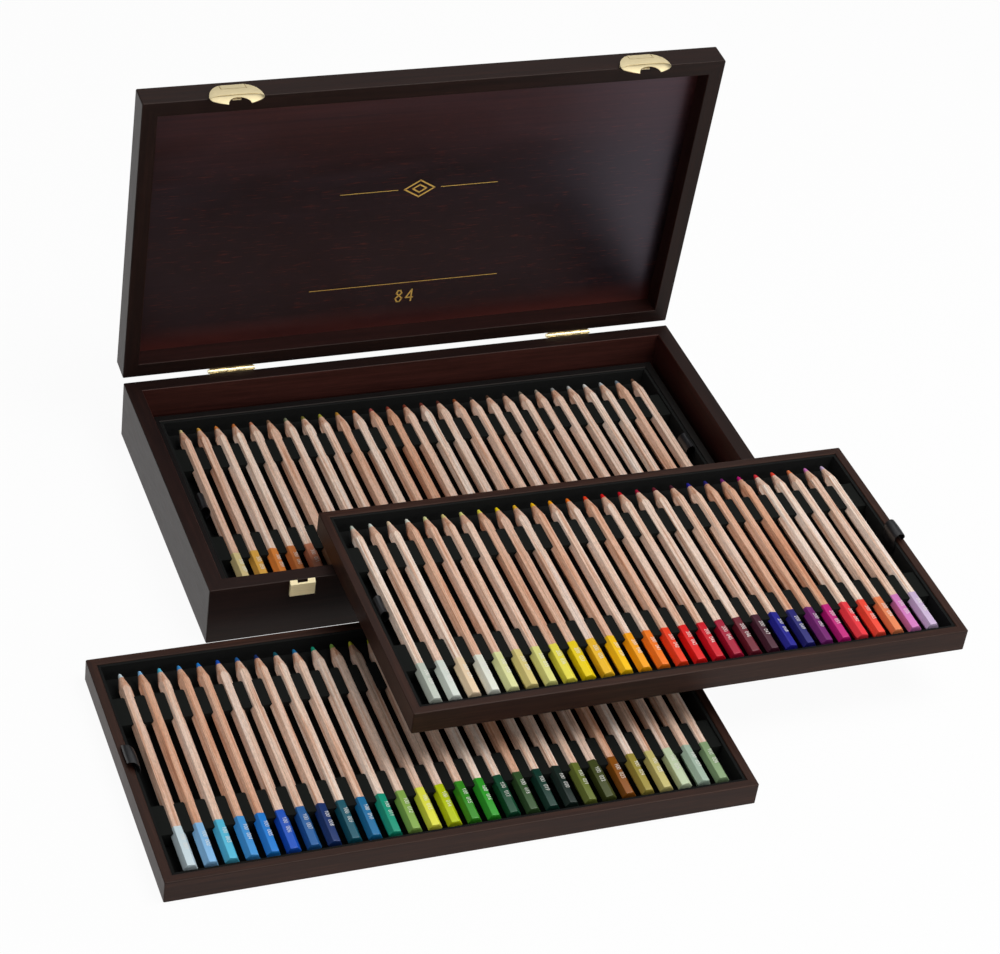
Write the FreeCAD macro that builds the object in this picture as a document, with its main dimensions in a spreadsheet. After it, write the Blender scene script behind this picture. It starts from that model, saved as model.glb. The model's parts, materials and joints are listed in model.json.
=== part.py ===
import FreeCAD, Part
import Sketcher
import math
import os

# A hinged wooden presentation case for 84 coloured pencils. The base holds one lift-out tray
# (tray_c); two more trays stand outside it: tray_a on the table in front, tray_b on the base's
# front rim. Millimetres, +X right, +Y back, +Z up, origin at the centre of the base's underside.
# The lid's pieces are drawn closed and then swung open about the hinge axis.

doc = FreeCAD.newDocument("PencilCase")
Vector = FreeCAD.Vector
Rotation = FreeCAD.Rotation
Placement = FreeCAD.Placement

# ---------------------------------------------------------------- driving sizes
SIZES = [
    # pencils
    ("pencil_count", 28, "pencils in one tray"),
    ("pencil_pitch", 12.8, "axis to axis"),
    ("pencil_length", 176, "tip to butt"),
    ("pencil_flats", 7.8, "hexagon across flats"),
    ("point_length", 17.5, "sharpened cone"),
    ("core_radius", 1.9, "pastel core"),
    ("tip_radius", 0.9, "blunt end of the core"),
    ("cap_length", 33, "colour-dipped butt"),
    ("dip_thickness", 0.12, "lacquer of the dipped butt"),
    # trays
    ("side_margin", 13.2, "tray's inner side to the first pencil's axis"),
    ("tip_gap", 6.5, "tray's inner back to the tips"),
    ("butt_gap", 6.5, "tray's inner front to the butts"),
    ("rail_wall", 6, "tray rail thickness"),
    ("tray_height", 16.4, ""),
    ("tray_panel", 3, "tray bottom thickness"),
    ("tray_rebate", 3, "how far the tray bottom lies in the rails"),
    ("liner_sheet", 0.8, "black lining thickness over the bottom"),
    ("liner_wall", 2.0, "black lining thickness against the rails"),
    ("liner_drop", 0.8, "lining below the tray's rim"),
    ("pencil_drop", 1.2, "pencils' top flat below the tray's rim"),
    ("bar_drop", 1.0, "bars' top below the pencils' top flat"),
    ("bar_width", 25, "along the pencil"),
    ("back_bar_from_tip", 25, "tip to the back bar"),
    ("cap_in_bar", 5, "dipped butt under the front bar"),
    ("ribbon_width", 16, "pull ribbon"),
    ("ribbon_sheet", 0.5, "pull ribbon thickness"),
    ("ribbon_rise", 3.5, "pull loop above the rim"),
    ("ribbon_foot", 4.5, "glued foot of the ribbon above the lining"),
    # case
    ("case_wall", 11, "base and lid walls"),
    ("tray_clearance_x", 5, "tray to base wall, each end"),
    ("tray_clearance_y", 4, "tray to base wall, front and back"),
    ("base_height", 44.5, ""),
    ("base_floor", 5.5, "base bottom thickness"),
    ("floor_rebate", 5, "how far the bottoms lie in the walls"),
    ("felt_sheet", 1.5, "felt on the base's floor"),
    ("lid_height", 18, ""),
    ("lid_panel", 3.5, "lid panel thickness"),
    ("lid_gap", 0.6, "base rim to lid rim when closed"),
    ("lid_open_angle", 86, "degrees from closed"),
    ("corner_round", 1.0, "upright corners"),
    ("edge_round", 0.6, "long outer edges"),
    ("edge_break", 0.4, "chamfer on the inner rim edges"),
    # butt hinges on the outer back faces
    ("hinge_spacing", 258, "hinge centre to hinge centre"),
    ("hinge_length", 32, ""),
    ("hinge_standoff", 2.1, "hinge axis behind the back face"),
    ("knuckle_radius", 1.7, ""),
    ("hinge_pin_radius", 0.8, ""),
    ("pin_head_radius", 1.45, "heads that keep the hinge pin in"),
    ("pin_head_length", 0.9, ""),
    ("pin_clearance", 0.05, "radial, every pin"),
    ("knuckle_gap", 0.2, "between knuckles"),
    ("leaf_sheet", 1.0, "hinge leaf thickness"),
    ("leaf_reach", 12.5, "hinge axis to the leaf's far edge"),
    ("leaf_clearance", 0.3, "leaf to the other leaf's knuckles"),
    ("screw_offset", 9, "screw to the hinge's middle"),
    ("screw_height", 7.6, "screw to the hinge axis"),
    ("screw_radius", 1.0, "shank"),
    ("screw_head", 1.9, "countersunk head radius"),
    ("screw_head_depth", 0.9, "countersunk head"),
    ("screw_length", 8, "shank in the wood"),
    # swing catches on the lid's front and keepers on the base's front
    ("catch_spacing", 291, "catch centre to catch centre"),
    ("catch_width", 37, ""),
    ("catch_rise", 17, "catch axis to the plate's top"),
    ("catch_offset", 3.5, "catch axis in front of the front face"),
    ("catch_drop", 3.8, "catch axis below the lid's rim"),
    ("catch_sheet", 1.0, "flap thickness"),
    ("plate_edge", 1.3, "plate thickness at its top"),
    ("flap_length", 8.6, "catch axis to the flap's lowest point"),
    ("finger_width", 15.6, "finger cut in the flap's lower edge"),
    ("finger_bridge", 1.9, "catch axis to the top of the finger cut"),
    ("catch_knuckle", 0.95, "knuckle radius"),
    ("catch_pin_radius", 0.45, ""),
    ("catch_clearance", 0.25, "plate and flap to each other's knuckles"),
    ("flap_knuckle", 15.4, "length of the flap's middle knuckle"),
    ("plate_knuckle", 6, "length of each of the plate's knuckles"),
    ("tongue_width", 17.4, "rectangular tongue marked on the plate"),
    ("tongue_height", 8, ""),
    ("slit_width", 0.7, ""),
    ("slit_depth", 0.7, ""),
    ("guide_width", 6, "guide under the catch plate that drops into the keeper's slot"),
    ("guide_sheet", 0.7, ""),
    ("guide_clearance", 0.35, "guide to the slot's back and bottom"),
    ("keeper_width", 17, ""),
    ("keeper_height", 11.7, ""),
    ("keeper_depth", 2.2, "in front of the base's front face"),
    ("keeper_slot_width", 7, ""),
    ("keeper_slot_depth", 1.4, ""),
    ("keeper_slot_height", 3.4, ""),
    ("spike_radius", 0.6, "spikes that hold the catch plates and keepers"),
    ("spike_length", 6, ""),
    ("spike_offset", 9, "catch spikes to the catch's middle"),
    ("keeper_spike_offset", 6, "keeper spikes to the keeper's middle"),
    ("keeper_spike_drop", 9.5, "keeper's top to its spikes"),
    # where the two loose trays lie
    ("tray_a_x", -100.6, "tray_a centre"),
    ("tray_a_front", 17.5, "gap between tray_a and the base's front"),
    ("tray_b_x", 69.6, "tray_b centre"),
    ("tray_b_overlap", 45.4, "tray_b over the base's front rim"),
]

sizes = doc.addObject("Spreadsheet::Sheet", "Sizes")
for row, (alias, value, note) in enumerate(SIZES, 1):
    sizes.set("A%d" % row, alias)
    sizes.set("B%d" % row, str(value))
    sizes.set("C%d" % row, note)
    sizes.setAlias("B%d" % row, alias)

# ---------------------------------------------------------------- sizes worked out from them
WORKED = [
    ("row_length", "(Sizes.pencil_count - 1) * Sizes.pencil_pitch"),
    ("tray_length", "row_length + 2 * Sizes.side_margin + 2 * Sizes.rail_wall"),
    ("tray_depth", "Sizes.pencil_length + Sizes.tip_gap + Sizes.butt_gap + 2 * Sizes.rail_wall"),
    ("case_length", "tray_length + 2 * Sizes.tray_clearance_x + 2 * Sizes.case_wall"),
    ("case_depth", "tray_depth + 2 * Sizes.tray_clearance_y + 2 * Sizes.case_wall"),
    ("lid_bottom", "Sizes.base_height + Sizes.lid_gap"),
    ("hinge_y", "case_depth / 2 + Sizes.hinge_standoff"),
    ("hinge_z", "Sizes.base_height + Sizes.lid_gap / 2"),
    ("catch_y", "-case_depth / 2 - Sizes.catch_offset"),
    ("catch_z", "lid_bottom - Sizes.catch_drop"),
    ("tray_c_z", "Sizes.base_floor + Sizes.felt_sheet"),
    ("tip_y", "tray_depth / 2 - Sizes.rail_wall - Sizes.tip_gap"),
    ("axis_z", "Sizes.tray_height - Sizes.pencil_drop - Sizes.pencil_flats / 2"),
    ("lining_z", "Sizes.tray_panel + Sizes.liner_sheet"),
    ("front_bar_from_tip", "Sizes.pencil_length - Sizes.cap_length + Sizes.cap_in_bar - Sizes.bar_width"),
]
worked = doc.addObject("Spreadsheet::Sheet", "Worked")
for row, (alias, formula) in enumerate(WORKED, 1):
    worked.set("A%d" % row, alias)
    worked.set("B%d" % row, "=" + formula)
    worked.setAlias("B%d" % row, alias)
doc.recompute()

size = {alias: float(sizes.get(alias)) for alias, value, note in SIZES}
size.update({alias: float(worked.get(alias)) for alias, formula in WORKED})
COUNT = int(round(size["pencil_count"]))


# ---------------------------------------------------------------- small helpers
def bind(thing, **expressions):
    """Ties properties of an object to the sheets."""
    for name, expression in expressions.items():
        thing.setExpression(name, expression)


def add(kind, name, **links):
    thing = doc.addObject(kind, name)
    for key, value in links.items():
        setattr(thing, key, value)
    return thing


def solid(name, shape):
    """A drawn shape as a document object."""
    thing = doc.addObject("Part::Feature", name)
    thing.Shape = shape
    return thing


def block(x, y, z, dx, dy, dz):
    """Box from its lowest corner and its sides."""
    return Part.makeBox(dx, dy, dz, Vector(x, y, z))


def rod_x(radius, x, y, z, length):
    """Cylinder along X from x."""
    return Part.makeCylinder(radius, length, Vector(x, y, z), Vector(1, 0, 0))


def prism(points, direction):
    """Extrudes a closed polygon of vectors."""
    return Part.Face(Part.makePolygon(points + points[:1])).extrude(direction)


def hexagon(flats, length, y, z):
    """Hexagonal bar along +Y from y, one flat on top, centred on x = 0."""
    radius = flats / math.sqrt(3)
    corners = [Vector(radius * math.cos(math.radians(60 * i)), y,
                      z + radius * math.sin(math.radians(60 * i))) for i in range(6)]
    return prism(corners, Vector(0, length, 0))


NODES = []


def place(node, source, placement=None):
    """Names one piece of the assembly and puts it where it belongs."""
    piece = doc.addObject("Part::Compound", node)
    piece.Label = node
    piece.Links = [source]
    if placement is not None:
        piece.Placement = placement
    NODES.append(piece)
    return piece


# ---------------------------------------------------------------- mitred frames
def mitred_frame(name, length, depth, height, wall, panel, rebate, panel_on_top=False):
    """Four mitred walls and a panel let into a rebate, centred, from z = 0.
    The sizes are expressions on the sheets. Returns the sources by side."""
    full = add("Part::Box", name + "_envelope_box")
    bind(full, Length=length, Width=depth, Height=height)
    bind(full, **{"Placement.Base.x": "-(%s) / 2" % length, "Placement.Base.y": "-(%s) / 2" % depth})
    sheet = add("Part::Box", name + "_sheet")
    inside = "%s - 2 * %s + 2 * %s"
    bind(sheet, Length=inside % (length, wall, rebate), Width=inside % (depth, wall, rebate), Height=panel)
    bind(sheet, **{"Placement.Base.x": "-(%s) / 2" % (inside % (length, wall, rebate)),
                   "Placement.Base.y": "-(%s) / 2" % (inside % (depth, wall, rebate))})
    if panel_on_top:
        bind(sheet, **{"Placement.Base.z": "%s - %s" % (height, panel)})
    doc.recompute()
    envelope = add("Part::Fillet", name + "_envelope", Base=full)
    rounds = []
    for number, edge in enumerate(full.Shape.Edges, 1):
        upright = edge.BoundBox.ZLength > edge.Length / 2
        radius = size["corner_round"] if upright else size["edge_round"]
        rounds.append((number, radius, radius))
    envelope.Edges = rounds
    sides = {}
    turns = {"front": (length, 0, -0.5, -0.5), "right": (depth, 90, 0.5, -0.5),
             "back": (length, 180, 0.5, 0.5), "left": (depth, 270, -0.5, 0.5)}
    for side, (run, angle, at_x, at_y) in turns.items():
        wedge = add("Part::Wedge", "%s_%s_wedge" % (name, side))
        bind(wedge, Xmin="0", Xmax=run, Ymin="0", Ymax=wall, Zmin="0", Zmax=height,
             X2min=wall, X2max="%s - %s" % (run, wall), Z2min="0", Z2max=height)
        wedge.Placement.Rotation = Rotation(Vector(0, 0, 1), angle)
        bind(wedge, **{"Placement.Base.x": "%g * (%s)" % (at_x, length),
                       "Placement.Base.y": "%g * (%s)" % (at_y, depth)})
        doc.recompute()
        eased = add("Part::Chamfer", "%s_%s_eased" % (name, side), Base=wedge)
        eased.Edges = [(number, size["edge_break"], size["edge_break"])
                       for number in inner_rim_edges(wedge.Shape, panel_on_top)]
        rounded = add("Part::Common", "%s_%s_rounded" % (name, side), Base=eased, Tool=envelope)
        sides[side] = add("Part::Cut", "%s_%s" % (name, side), Base=rounded, Tool=sheet)
    sides["panel"] = sheet
    doc.recompute()
    return sides


def inner_rim_edges(shape, rim_below):
    """Numbers of the level edge nearest the middle of the frame, at its rim."""
    rim = shape.BoundBox.ZMin if rim_below else shape.BoundBox.ZMax
    level = []
    for number, edge in enumerate(shape.Edges, 1):
        box = edge.BoundBox
        if abs(box.ZMin - rim) < 1e-6 and abs(box.ZMax - rim) < 1e-6:
            middle = edge.CenterOfMass
            level.append((math.hypot(middle.x, middle.y), number))
    return [min(level)[1]]


base = mitred_frame("base", "Worked.case_length", "Worked.case_depth", "Sizes.base_height",
                    "Sizes.case_wall", "Sizes.base_floor", "Sizes.floor_rebate")
lid = mitred_frame("lid", "Worked.case_length", "Worked.case_depth", "Sizes.lid_height",
                   "Sizes.case_wall", "Sizes.lid_panel", "Sizes.floor_rebate", panel_on_top=True)
tray = mitred_frame("tray", "Worked.tray_length", "Worked.tray_depth", "Sizes.tray_height",
                    "Sizes.rail_wall", "Sizes.tray_panel", "Sizes.tray_rebate")

felt = add("Part::Box", "felt")
bind(felt, Length="Worked.case_length - 2 * Sizes.case_wall", Width="Worked.case_depth - 2 * Sizes.case_wall",
     Height="Sizes.felt_sheet")
bind(felt, **{"Placement.Base.x": "-Worked.case_length / 2 + Sizes.case_wall",
              "Placement.Base.y": "-Worked.case_depth / 2 + Sizes.case_wall",
              "Placement.Base.z": "Sizes.base_floor"})


# ---------------------------------------------------------------- what lies in a tray
def liner_pan():
    """Black lining: an open pan, thicker against the rails than over the bottom."""
    length = size["tray_length"] - 2 * size["rail_wall"]
    depth = size["tray_depth"] - 2 * size["rail_wall"]
    height = size["tray_height"] - size["tray_panel"] - size["liner_drop"]
    wall = size["liner_wall"]
    outside = block(-length / 2, -depth / 2, size["tray_panel"], length, depth, height)
    inside = block(-length / 2 + wall, -depth / 2 + wall, size["lining_z"],
                   length - 2 * wall, depth - 2 * wall, height)
    return outside.cut(inside)


def in_a_row(shape):
    """One copy of the shape for each pencil."""
    first = -size["row_length"] / 2
    copies = []
    for number in range(COUNT):
        copy = shape.copy()
        copy.translate(Vector(first + number * size["pencil_pitch"], 0, 0))
        copies.append(copy)
    return copies


def holding_bar(from_tip, flats):
    """Soft bar across the tray with a snug notch for each pencil of this size across flats."""
    length = size["tray_length"] - 2 * size["rail_wall"] - 2 * size["liner_wall"]
    top = size["tray_height"] - size["pencil_drop"] - size["bar_drop"]
    back = size["tip_y"] - from_tip
    bar = block(-length / 2, back - size["bar_width"], size["lining_z"],
                length, size["bar_width"], top - size["lining_z"])
    notch = hexagon(flats, size["bar_width"] + 2, back - size["bar_width"] - 1, size["axis_z"])
    return bar.cut(Part.makeCompound(in_a_row(notch)))


def pencil_point(radius):
    """Turned outline of a sharpened bar of this radius, along Y, tip at tip_y."""
    tip = size["tip_y"]
    butt = tip - size["pencil_length"]
    full = size["pencil_flats"] / math.sqrt(3)
    slope = (full - size["tip_radius"]) / size["point_length"]
    blunt = min(size["tip_radius"], radius)
    shoulder = tip - (radius - blunt) / slope
    points = [Vector(0, butt, 0), Vector(radius, butt, 0), Vector(radius, shoulder, 0),
              Vector(blunt, tip, 0), Vector(0, tip, 0)]
    turned = Part.Face(Part.makePolygon(points + points[:1])).revolve(Vector(0, 0, 0), Vector(0, 1, 0), 360)
    turned.translate(Vector(0, 0, size["axis_z"]))
    return turned


def pencil_pieces():
    """One pencil's core, wood casing and dipped butt."""
    butt = size["tip_y"] - size["pencil_length"]
    dip = size["dip_thickness"]
    core = pencil_point(size["core_radius"])
    bar = hexagon(size["pencil_flats"], size["pencil_length"], butt, size["axis_z"])
    wood = bar.common(pencil_point(size["pencil_flats"] / math.sqrt(3) + 1e-3)).cut(core)
    coat = hexagon(size["pencil_flats"] + 2 * dip, size["cap_length"] + dip, butt - dip, size["axis_z"])
    inside = hexagon(size["pencil_flats"], size["cap_length"], butt, size["axis_z"])
    return core, wood, coat.cut(inside)


def pull_ribbon():
    """Loop of ribbon at the right-hand rail: up the lining, over in a bow, and back down."""
    sheet = size["ribbon_sheet"]
    foot_z = size["lining_z"] + size["ribbon_foot"]
    wall_x = size["tray_length"] / 2 - size["rail_wall"] - size["liner_wall"]
    rim_z = size["tray_height"]
    outer = size["rail_wall"] / 2
    bow_x = wall_x - sheet + outer
    bow_z = rim_z + size["ribbon_rise"] - outer
    low = Vector(wall_x - sheet, -size["ribbon_width"] / 2, foot_z)

    def across(radius, side):
        return Vector(bow_x + side * radius, low.y, bow_z)

    top_out = Vector(bow_x, low.y, bow_z + outer)
    top_in = Vector(bow_x, low.y, bow_z + outer - sheet)
    end_z = rim_z + size["ribbon_sheet"] / 2
    edges = [
        Part.makeLine(low, across(outer, -1)),
        Part.Arc(across(outer, -1), top_out, across(outer, 1)).toShape(),
        Part.makeLine(across(outer, 1), Vector(bow_x + outer, low.y, end_z)),
        Part.makeLine(Vector(bow_x + outer, low.y, end_z), Vector(bow_x + outer - sheet, low.y, end_z)),
        Part.makeLine(Vector(bow_x + outer - sheet, low.y, end_z), across(outer - sheet, 1)),
        Part.Arc(across(outer - sheet, 1), top_in, across(outer - sheet, -1)).toShape(),
        Part.makeLine(across(outer - sheet, -1), low + Vector(sheet, 0, 0)),
        Part.makeLine(low + Vector(sheet, 0, 0), low),
    ]
    return Part.Face(Part.Wire(edges)).extrude(Vector(0, size["ribbon_width"], 0))


core, wood, coat = pencil_pieces()
ribbon = pull_ribbon()
ribbon_left = ribbon.mirror(Vector(0, 0, 0), Vector(1, 0, 0))
tray["liner"] = solid("tray_liner", liner_pan())
tray["holding_bars"] = solid("tray_bars", Part.makeCompound(
    [holding_bar(size["back_bar_from_tip"], size["pencil_flats"]),
     holding_bar(size["front_bar_from_tip"], size["pencil_flats"] + 2 * size["dip_thickness"])]))
tray["ribbons"] = solid("tray_ribbons", Part.makeCompound([ribbon_left, ribbon]))
tray["pencil_cores"] = solid("pencil_cores", Part.makeCompound(in_a_row(core)))
tray["pencil_barrels"] = solid("pencil_barrels", Part.makeCompound(in_a_row(wood)))
tray["pencil_caps"] = solid("pencil_caps", Part.makeCompound(in_a_row(coat)))

front_face = -size["case_depth"] / 2
tray_spots = {
    "tray_a": Vector(size["tray_a_x"], front_face - size["tray_a_front"] - size["tray_depth"] / 2, 0),
    "tray_b": Vector(size["tray_b_x"], front_face + size["tray_b_overlap"] - size["tray_depth"] / 2,
                     size["base_height"]),
    "tray_c": Vector(0, 0, size["tray_c_z"]),
}
for name, spot in tray_spots.items():
    for piece, source in tray.items():
        rail = "_rail" if piece in ("front", "back", "left", "right") else ""
        place("%s_%s%s" % (name, piece, rail), source, Placement(spot, Rotation()))


# ---------------------------------------------------------------- hinges
def hinge_leaf(upward):
    """One leaf of a butt hinge centred on x = 0 with its axis on the origin. The leaf lies flat on
    the back face, below the axis for the base and above it for the lid."""
    length = size["hinge_length"]
    gap = size["knuckle_gap"]
    segment = (length - 4 * gap) / 5
    starts = [-length / 2 + number * (segment + gap) for number in range(5)]
    mine = starts[1::2] if upward else starts[0::2]
    others = starts[0::2] if upward else starts[1::2]
    face_y = -size["hinge_standoff"]
    reach = size["leaf_reach"]
    leaf = block(-length / 2, face_y, 0 if upward else -reach, length, size["leaf_sheet"], reach)
    radius = size["knuckle_radius"]
    clear = radius + size["leaf_clearance"]
    for start in others:
        leaf = leaf.cut(rod_x(clear, start - gap, 0, 0, segment + 2 * gap))
    for start in mine:
        leaf = leaf.fuse(rod_x(radius, start, 0, 0, segment))
    bore = size["hinge_pin_radius"] + size["pin_clearance"]
    leaf = leaf.cut(rod_x(bore, -length, 0, 0, 2 * length))
    other_half = block(-length, face_y - 1, -reach if upward else 0.0, 2 * length,
                       size["leaf_sheet"] + 1, reach)
    inner = other_half.cut(rod_x(radius, -length, 0, 0, 2 * length))
    return leaf.cut(inner).removeSplitter()


def hinge_screw(x, z):
    """Countersunk wood screw driven forward into the back wall, its head flush with the leaf."""
    outer_y = -size["hinge_standoff"] + size["leaf_sheet"]
    inward = Vector(0, -1, 0)
    head = Part.makeCone(size["screw_head"], size["screw_radius"], size["screw_head_depth"],
                         Vector(x, outer_y, z), inward)
    shank = Part.makeCylinder(size["screw_radius"], size["screw_length"] + size["leaf_sheet"],
                              Vector(x, outer_y, z), inward)
    return head.fuse(shank).removeSplitter()


def hinge_pin():
    """Pin through the knuckles with a head beyond them at each end."""
    half = size["hinge_length"] / 2 + size["knuckle_gap"]
    head = size["pin_head_length"]
    shaft = rod_x(size["hinge_pin_radius"], -half - head, 0, 0, 2 * (half + head))
    for start in (-half - head, half):
        shaft = shaft.fuse(rod_x(size["pin_head_radius"], start, 0, 0, head))
    return shaft.removeSplitter()


def moved(shape, x, y, z):
    copy = shape.copy()
    copy.translate(Vector(x, y, z))
    return copy


SIDES = (("left", -1), ("right", 1))
hinge_y = size["hinge_y"]
hinge_z = size["hinge_z"]
base_screws = [hinge_screw(side * size["screw_offset"], -size["screw_height"]) for name, side in SIDES]
lid_screws = [hinge_screw(side * size["screw_offset"], size["screw_height"]) for name, side in SIDES]
base_leaf = hinge_leaf(False).cut(Part.makeCompound(base_screws))
lid_leaf = hinge_leaf(True).cut(Part.makeCompound(lid_screws))


def at_hinges(shapes):
    """The shapes at both hinges, as one compound."""
    offset = size["hinge_spacing"] / 2
    return Part.makeCompound([moved(shape, side * offset, hinge_y, hinge_z)
                              for name, side in SIDES for shape in shapes])


hinge_parts = {
    "hinge_screws_base": solid("base_hinge_screws", at_hinges(base_screws)),
    "hinge_screws_lid": solid("lid_hinge_screws", at_hinges(lid_screws)),
    "hinge_pins": solid("hinge_pins_closed", at_hinges([hinge_pin()])),
}
for name, side in SIDES:
    x = side * size["hinge_spacing"] / 2
    hinge_parts["hinge_%s_base_leaf" % name] = solid("base_leaf_" + name, moved(base_leaf, x, hinge_y, hinge_z))
    hinge_parts["hinge_%s_lid_leaf" % name] = solid("lid_leaf_" + name, moved(lid_leaf, x, hinge_y, hinge_z))


# ---------------------------------------------------------------- swing catches
def spike(x, y, z):
    """Spike into the wood, along +Y from a front face."""
    return Part.makeCylinder(size["spike_radius"], size["spike_length"], Vector(x, y, z), Vector(0, 1, 0))


def half_oval(width, height, upward):
    """Half an ellipse through its long axis, extruded well past both faces along Y."""
    wide = width >= 2 * height
    long_radius, short_radius = (width / 2, height) if wide else (height, width / 2)
    curve = Part.Ellipse(Vector(0, 0, 0), long_radius, short_radius)
    face = Part.Face(Part.Wire(curve.toShape()))
    if not wide:
        face.rotate(Vector(0, 0, 0), Vector(0, 0, 1), 90)
    face.rotate(Vector(0, 0, 0), Vector(1, 0, 0), 90)
    face.translate(Vector(0, -width, 0))
    whole = face.extrude(Vector(0, 2 * width, 0))
    half = block(-width, -width, 0 if upward else -2 * height, 2 * width, 2 * width, 2 * height)
    return whole.common(half)


def knuckles(spans, radius):
    return [rod_x(radius, start, 0, 0, length) for start, length in spans]


def catch_spans():
    """Where along X the flap's knuckle and the plate's two knuckles lie."""
    middle = size["flap_knuckle"]
    outer = size["plate_knuckle"]
    gap = size["knuckle_gap"]
    flap_span = [(-middle / 2, middle)]
    plate_span = [(-middle / 2 - gap - outer, outer), (middle / 2 + gap, outer)]
    return flap_span, plate_span


def catch_plate():
    """Half-oval plate with its catch axis on the origin: it stands on the lid's front face and its
    lower strip reaches past the rim. Spikes behind it hold it in the wood."""
    flap_span, plate_span = catch_spans()
    wall = size["catch_offset"]
    outer = -size["catch_sheet"] / 2
    rise = size["catch_rise"]
    rim = size["catch_drop"] + size["edge_round"]
    foot = size["catch_knuckle"] + size["catch_clearance"]
    half_width = size["catch_width"] / 2
    outline = [(wall, rim), (wall, rise), (wall - size["plate_edge"], rise), (outer, foot),
               (outer + size["catch_sheet"], foot), (outer + size["catch_sheet"], rim)]
    body = prism([Vector(-half_width, y, z) for y, z in outline], Vector(2 * half_width, 0, 0))
    body = body.common(half_oval(size["catch_width"], rise, True))
    strips = []
    for start, length in plate_span:
        strips.append(block(start, outer, 0, length, size["catch_sheet"], foot + 0.2))
    body = body.fuse(strips + knuckles(plate_span, size["catch_knuckle"]))
    body = body.cut(knuckles([(-half_width, 2 * half_width)], size["catch_pin_radius"] + size["pin_clearance"]))
    slope = math.atan2(wall - size["plate_edge"] - outer, rise - foot)
    groove = Part.makeCompound(tongue_slits())
    groove.rotate(Vector(0, outer, foot), Vector(1, 0, 0), -math.degrees(slope))
    body = body.cut(groove)
    slot_floor = size["base_height"] - size["keeper_slot_height"] - size["catch_z"]
    guide_low = slot_floor + size["guide_clearance"]
    guide_back = wall - size["guide_clearance"]
    guide = block(-size["guide_width"] / 2, guide_back - size["guide_sheet"], guide_low,
                  size["guide_width"], size["guide_sheet"], rim + size["guide_sheet"] - guide_low)
    spikes = [spike(side * size["spike_offset"], wall, (rim + rise) / 2) for name, side in SIDES]
    return body.fuse([guide] + spikes).removeSplitter()


def tongue_slits():
    """Three shallow slits round the plate's rectangular tongue, drawn on an upright face."""
    wide = size["tongue_width"]
    slit = size["slit_width"]
    outer = -size["catch_sheet"] / 2
    low = size["catch_rise"] - size["tongue_height"]
    deep = size["slit_depth"]
    tall = size["tongue_height"] * 2
    slits = [block(side * wide / 2 - slit / 2, outer - 1, low, slit, deep + 1, tall) for side in (-1, 1)]
    slits.append(block(-wide / 2, outer - 1, low, wide, deep + 1, slit / 2))
    return slits


def catch_flap():
    """Half-oval flap hanging from the catch axis, with a finger cut in its lower edge."""
    flap_span, plate_span = catch_spans()
    sheet = size["catch_sheet"]
    half_width = size["catch_width"] / 2
    length = size["flap_length"]
    top = size["catch_clearance"]
    body = block(-half_width, -sheet / 2, -length, 2 * half_width, sheet, length - top)
    body = body.common(half_oval(size["catch_width"], length, False))
    finger = half_oval(size["finger_width"], length - size["finger_bridge"], True)
    finger.translate(Vector(0, 0, -length))
    body = body.cut(finger)
    clear = size["catch_knuckle"] + size["catch_clearance"]
    gap = size["knuckle_gap"]
    body = body.cut(knuckles([(start - gap, span + 2 * gap) for start, span in plate_span], clear))
    start, span = flap_span[0]
    bridge = block(start, -sheet / 2, -2 * top, span, sheet, 2 * top)
    body = body.fuse([bridge] + knuckles(flap_span, size["catch_knuckle"]))
    body = body.cut(knuckles([(-half_width, 2 * half_width)], size["catch_pin_radius"] + size["pin_clearance"]))
    return body.removeSplitter()


def catch_pin():
    middle = size["flap_knuckle"] / 2 + size["knuckle_gap"] + size["plate_knuckle"]
    return rod_x(size["catch_pin_radius"], -middle, 0, 0, 2 * middle)


def draw_polygon(sketch, corners):
    """Closed polygon whose level and upright sides stay so, with its corners joined."""
    count = len(corners)
    following = corners[1:] + corners[:1]
    for start, end in zip(corners, following):
        sketch.addGeometry(Part.LineSegment(Vector(*start, 0), Vector(*end, 0)), False)
    for number, (start, end) in enumerate(zip(corners, following)):
        sketch.addConstraint(Sketcher.Constraint("Coincident", number, 2, (number + 1) % count, 1))
        if start[0] == end[0]:
            sketch.addConstraint(Sketcher.Constraint("Vertical", number))
        if start[1] == end[1]:
            sketch.addConstraint(Sketcher.Constraint("Horizontal", number))


def tie_corner(sketch, corner, direction, expression):
    """Ties a corner's distance before the sketch's origin, across (X) or up (Y), to the sheets."""
    point = sketch.Geometry[corner].StartPoint
    distance = -point.x if direction == "X" else -point.y
    number = sketch.addConstraint(
        Sketcher.Constraint("Distance" + direction, corner, 1, -1, 1, distance))
    sketch.setExpression("Constraints[%d]" % number, expression)


def sketch_on(body, role, name):
    """New sketch on one of the body's own origin planes."""
    plane = [item for item in body.Origin.OriginFeatures if item.Role == role][0]
    sketch = body.newObject("Sketcher::SketchObject", name)
    sketch.AttachmentSupport = [(plane, "")]
    sketch.MapMode = "FlatFace"
    return sketch


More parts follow.
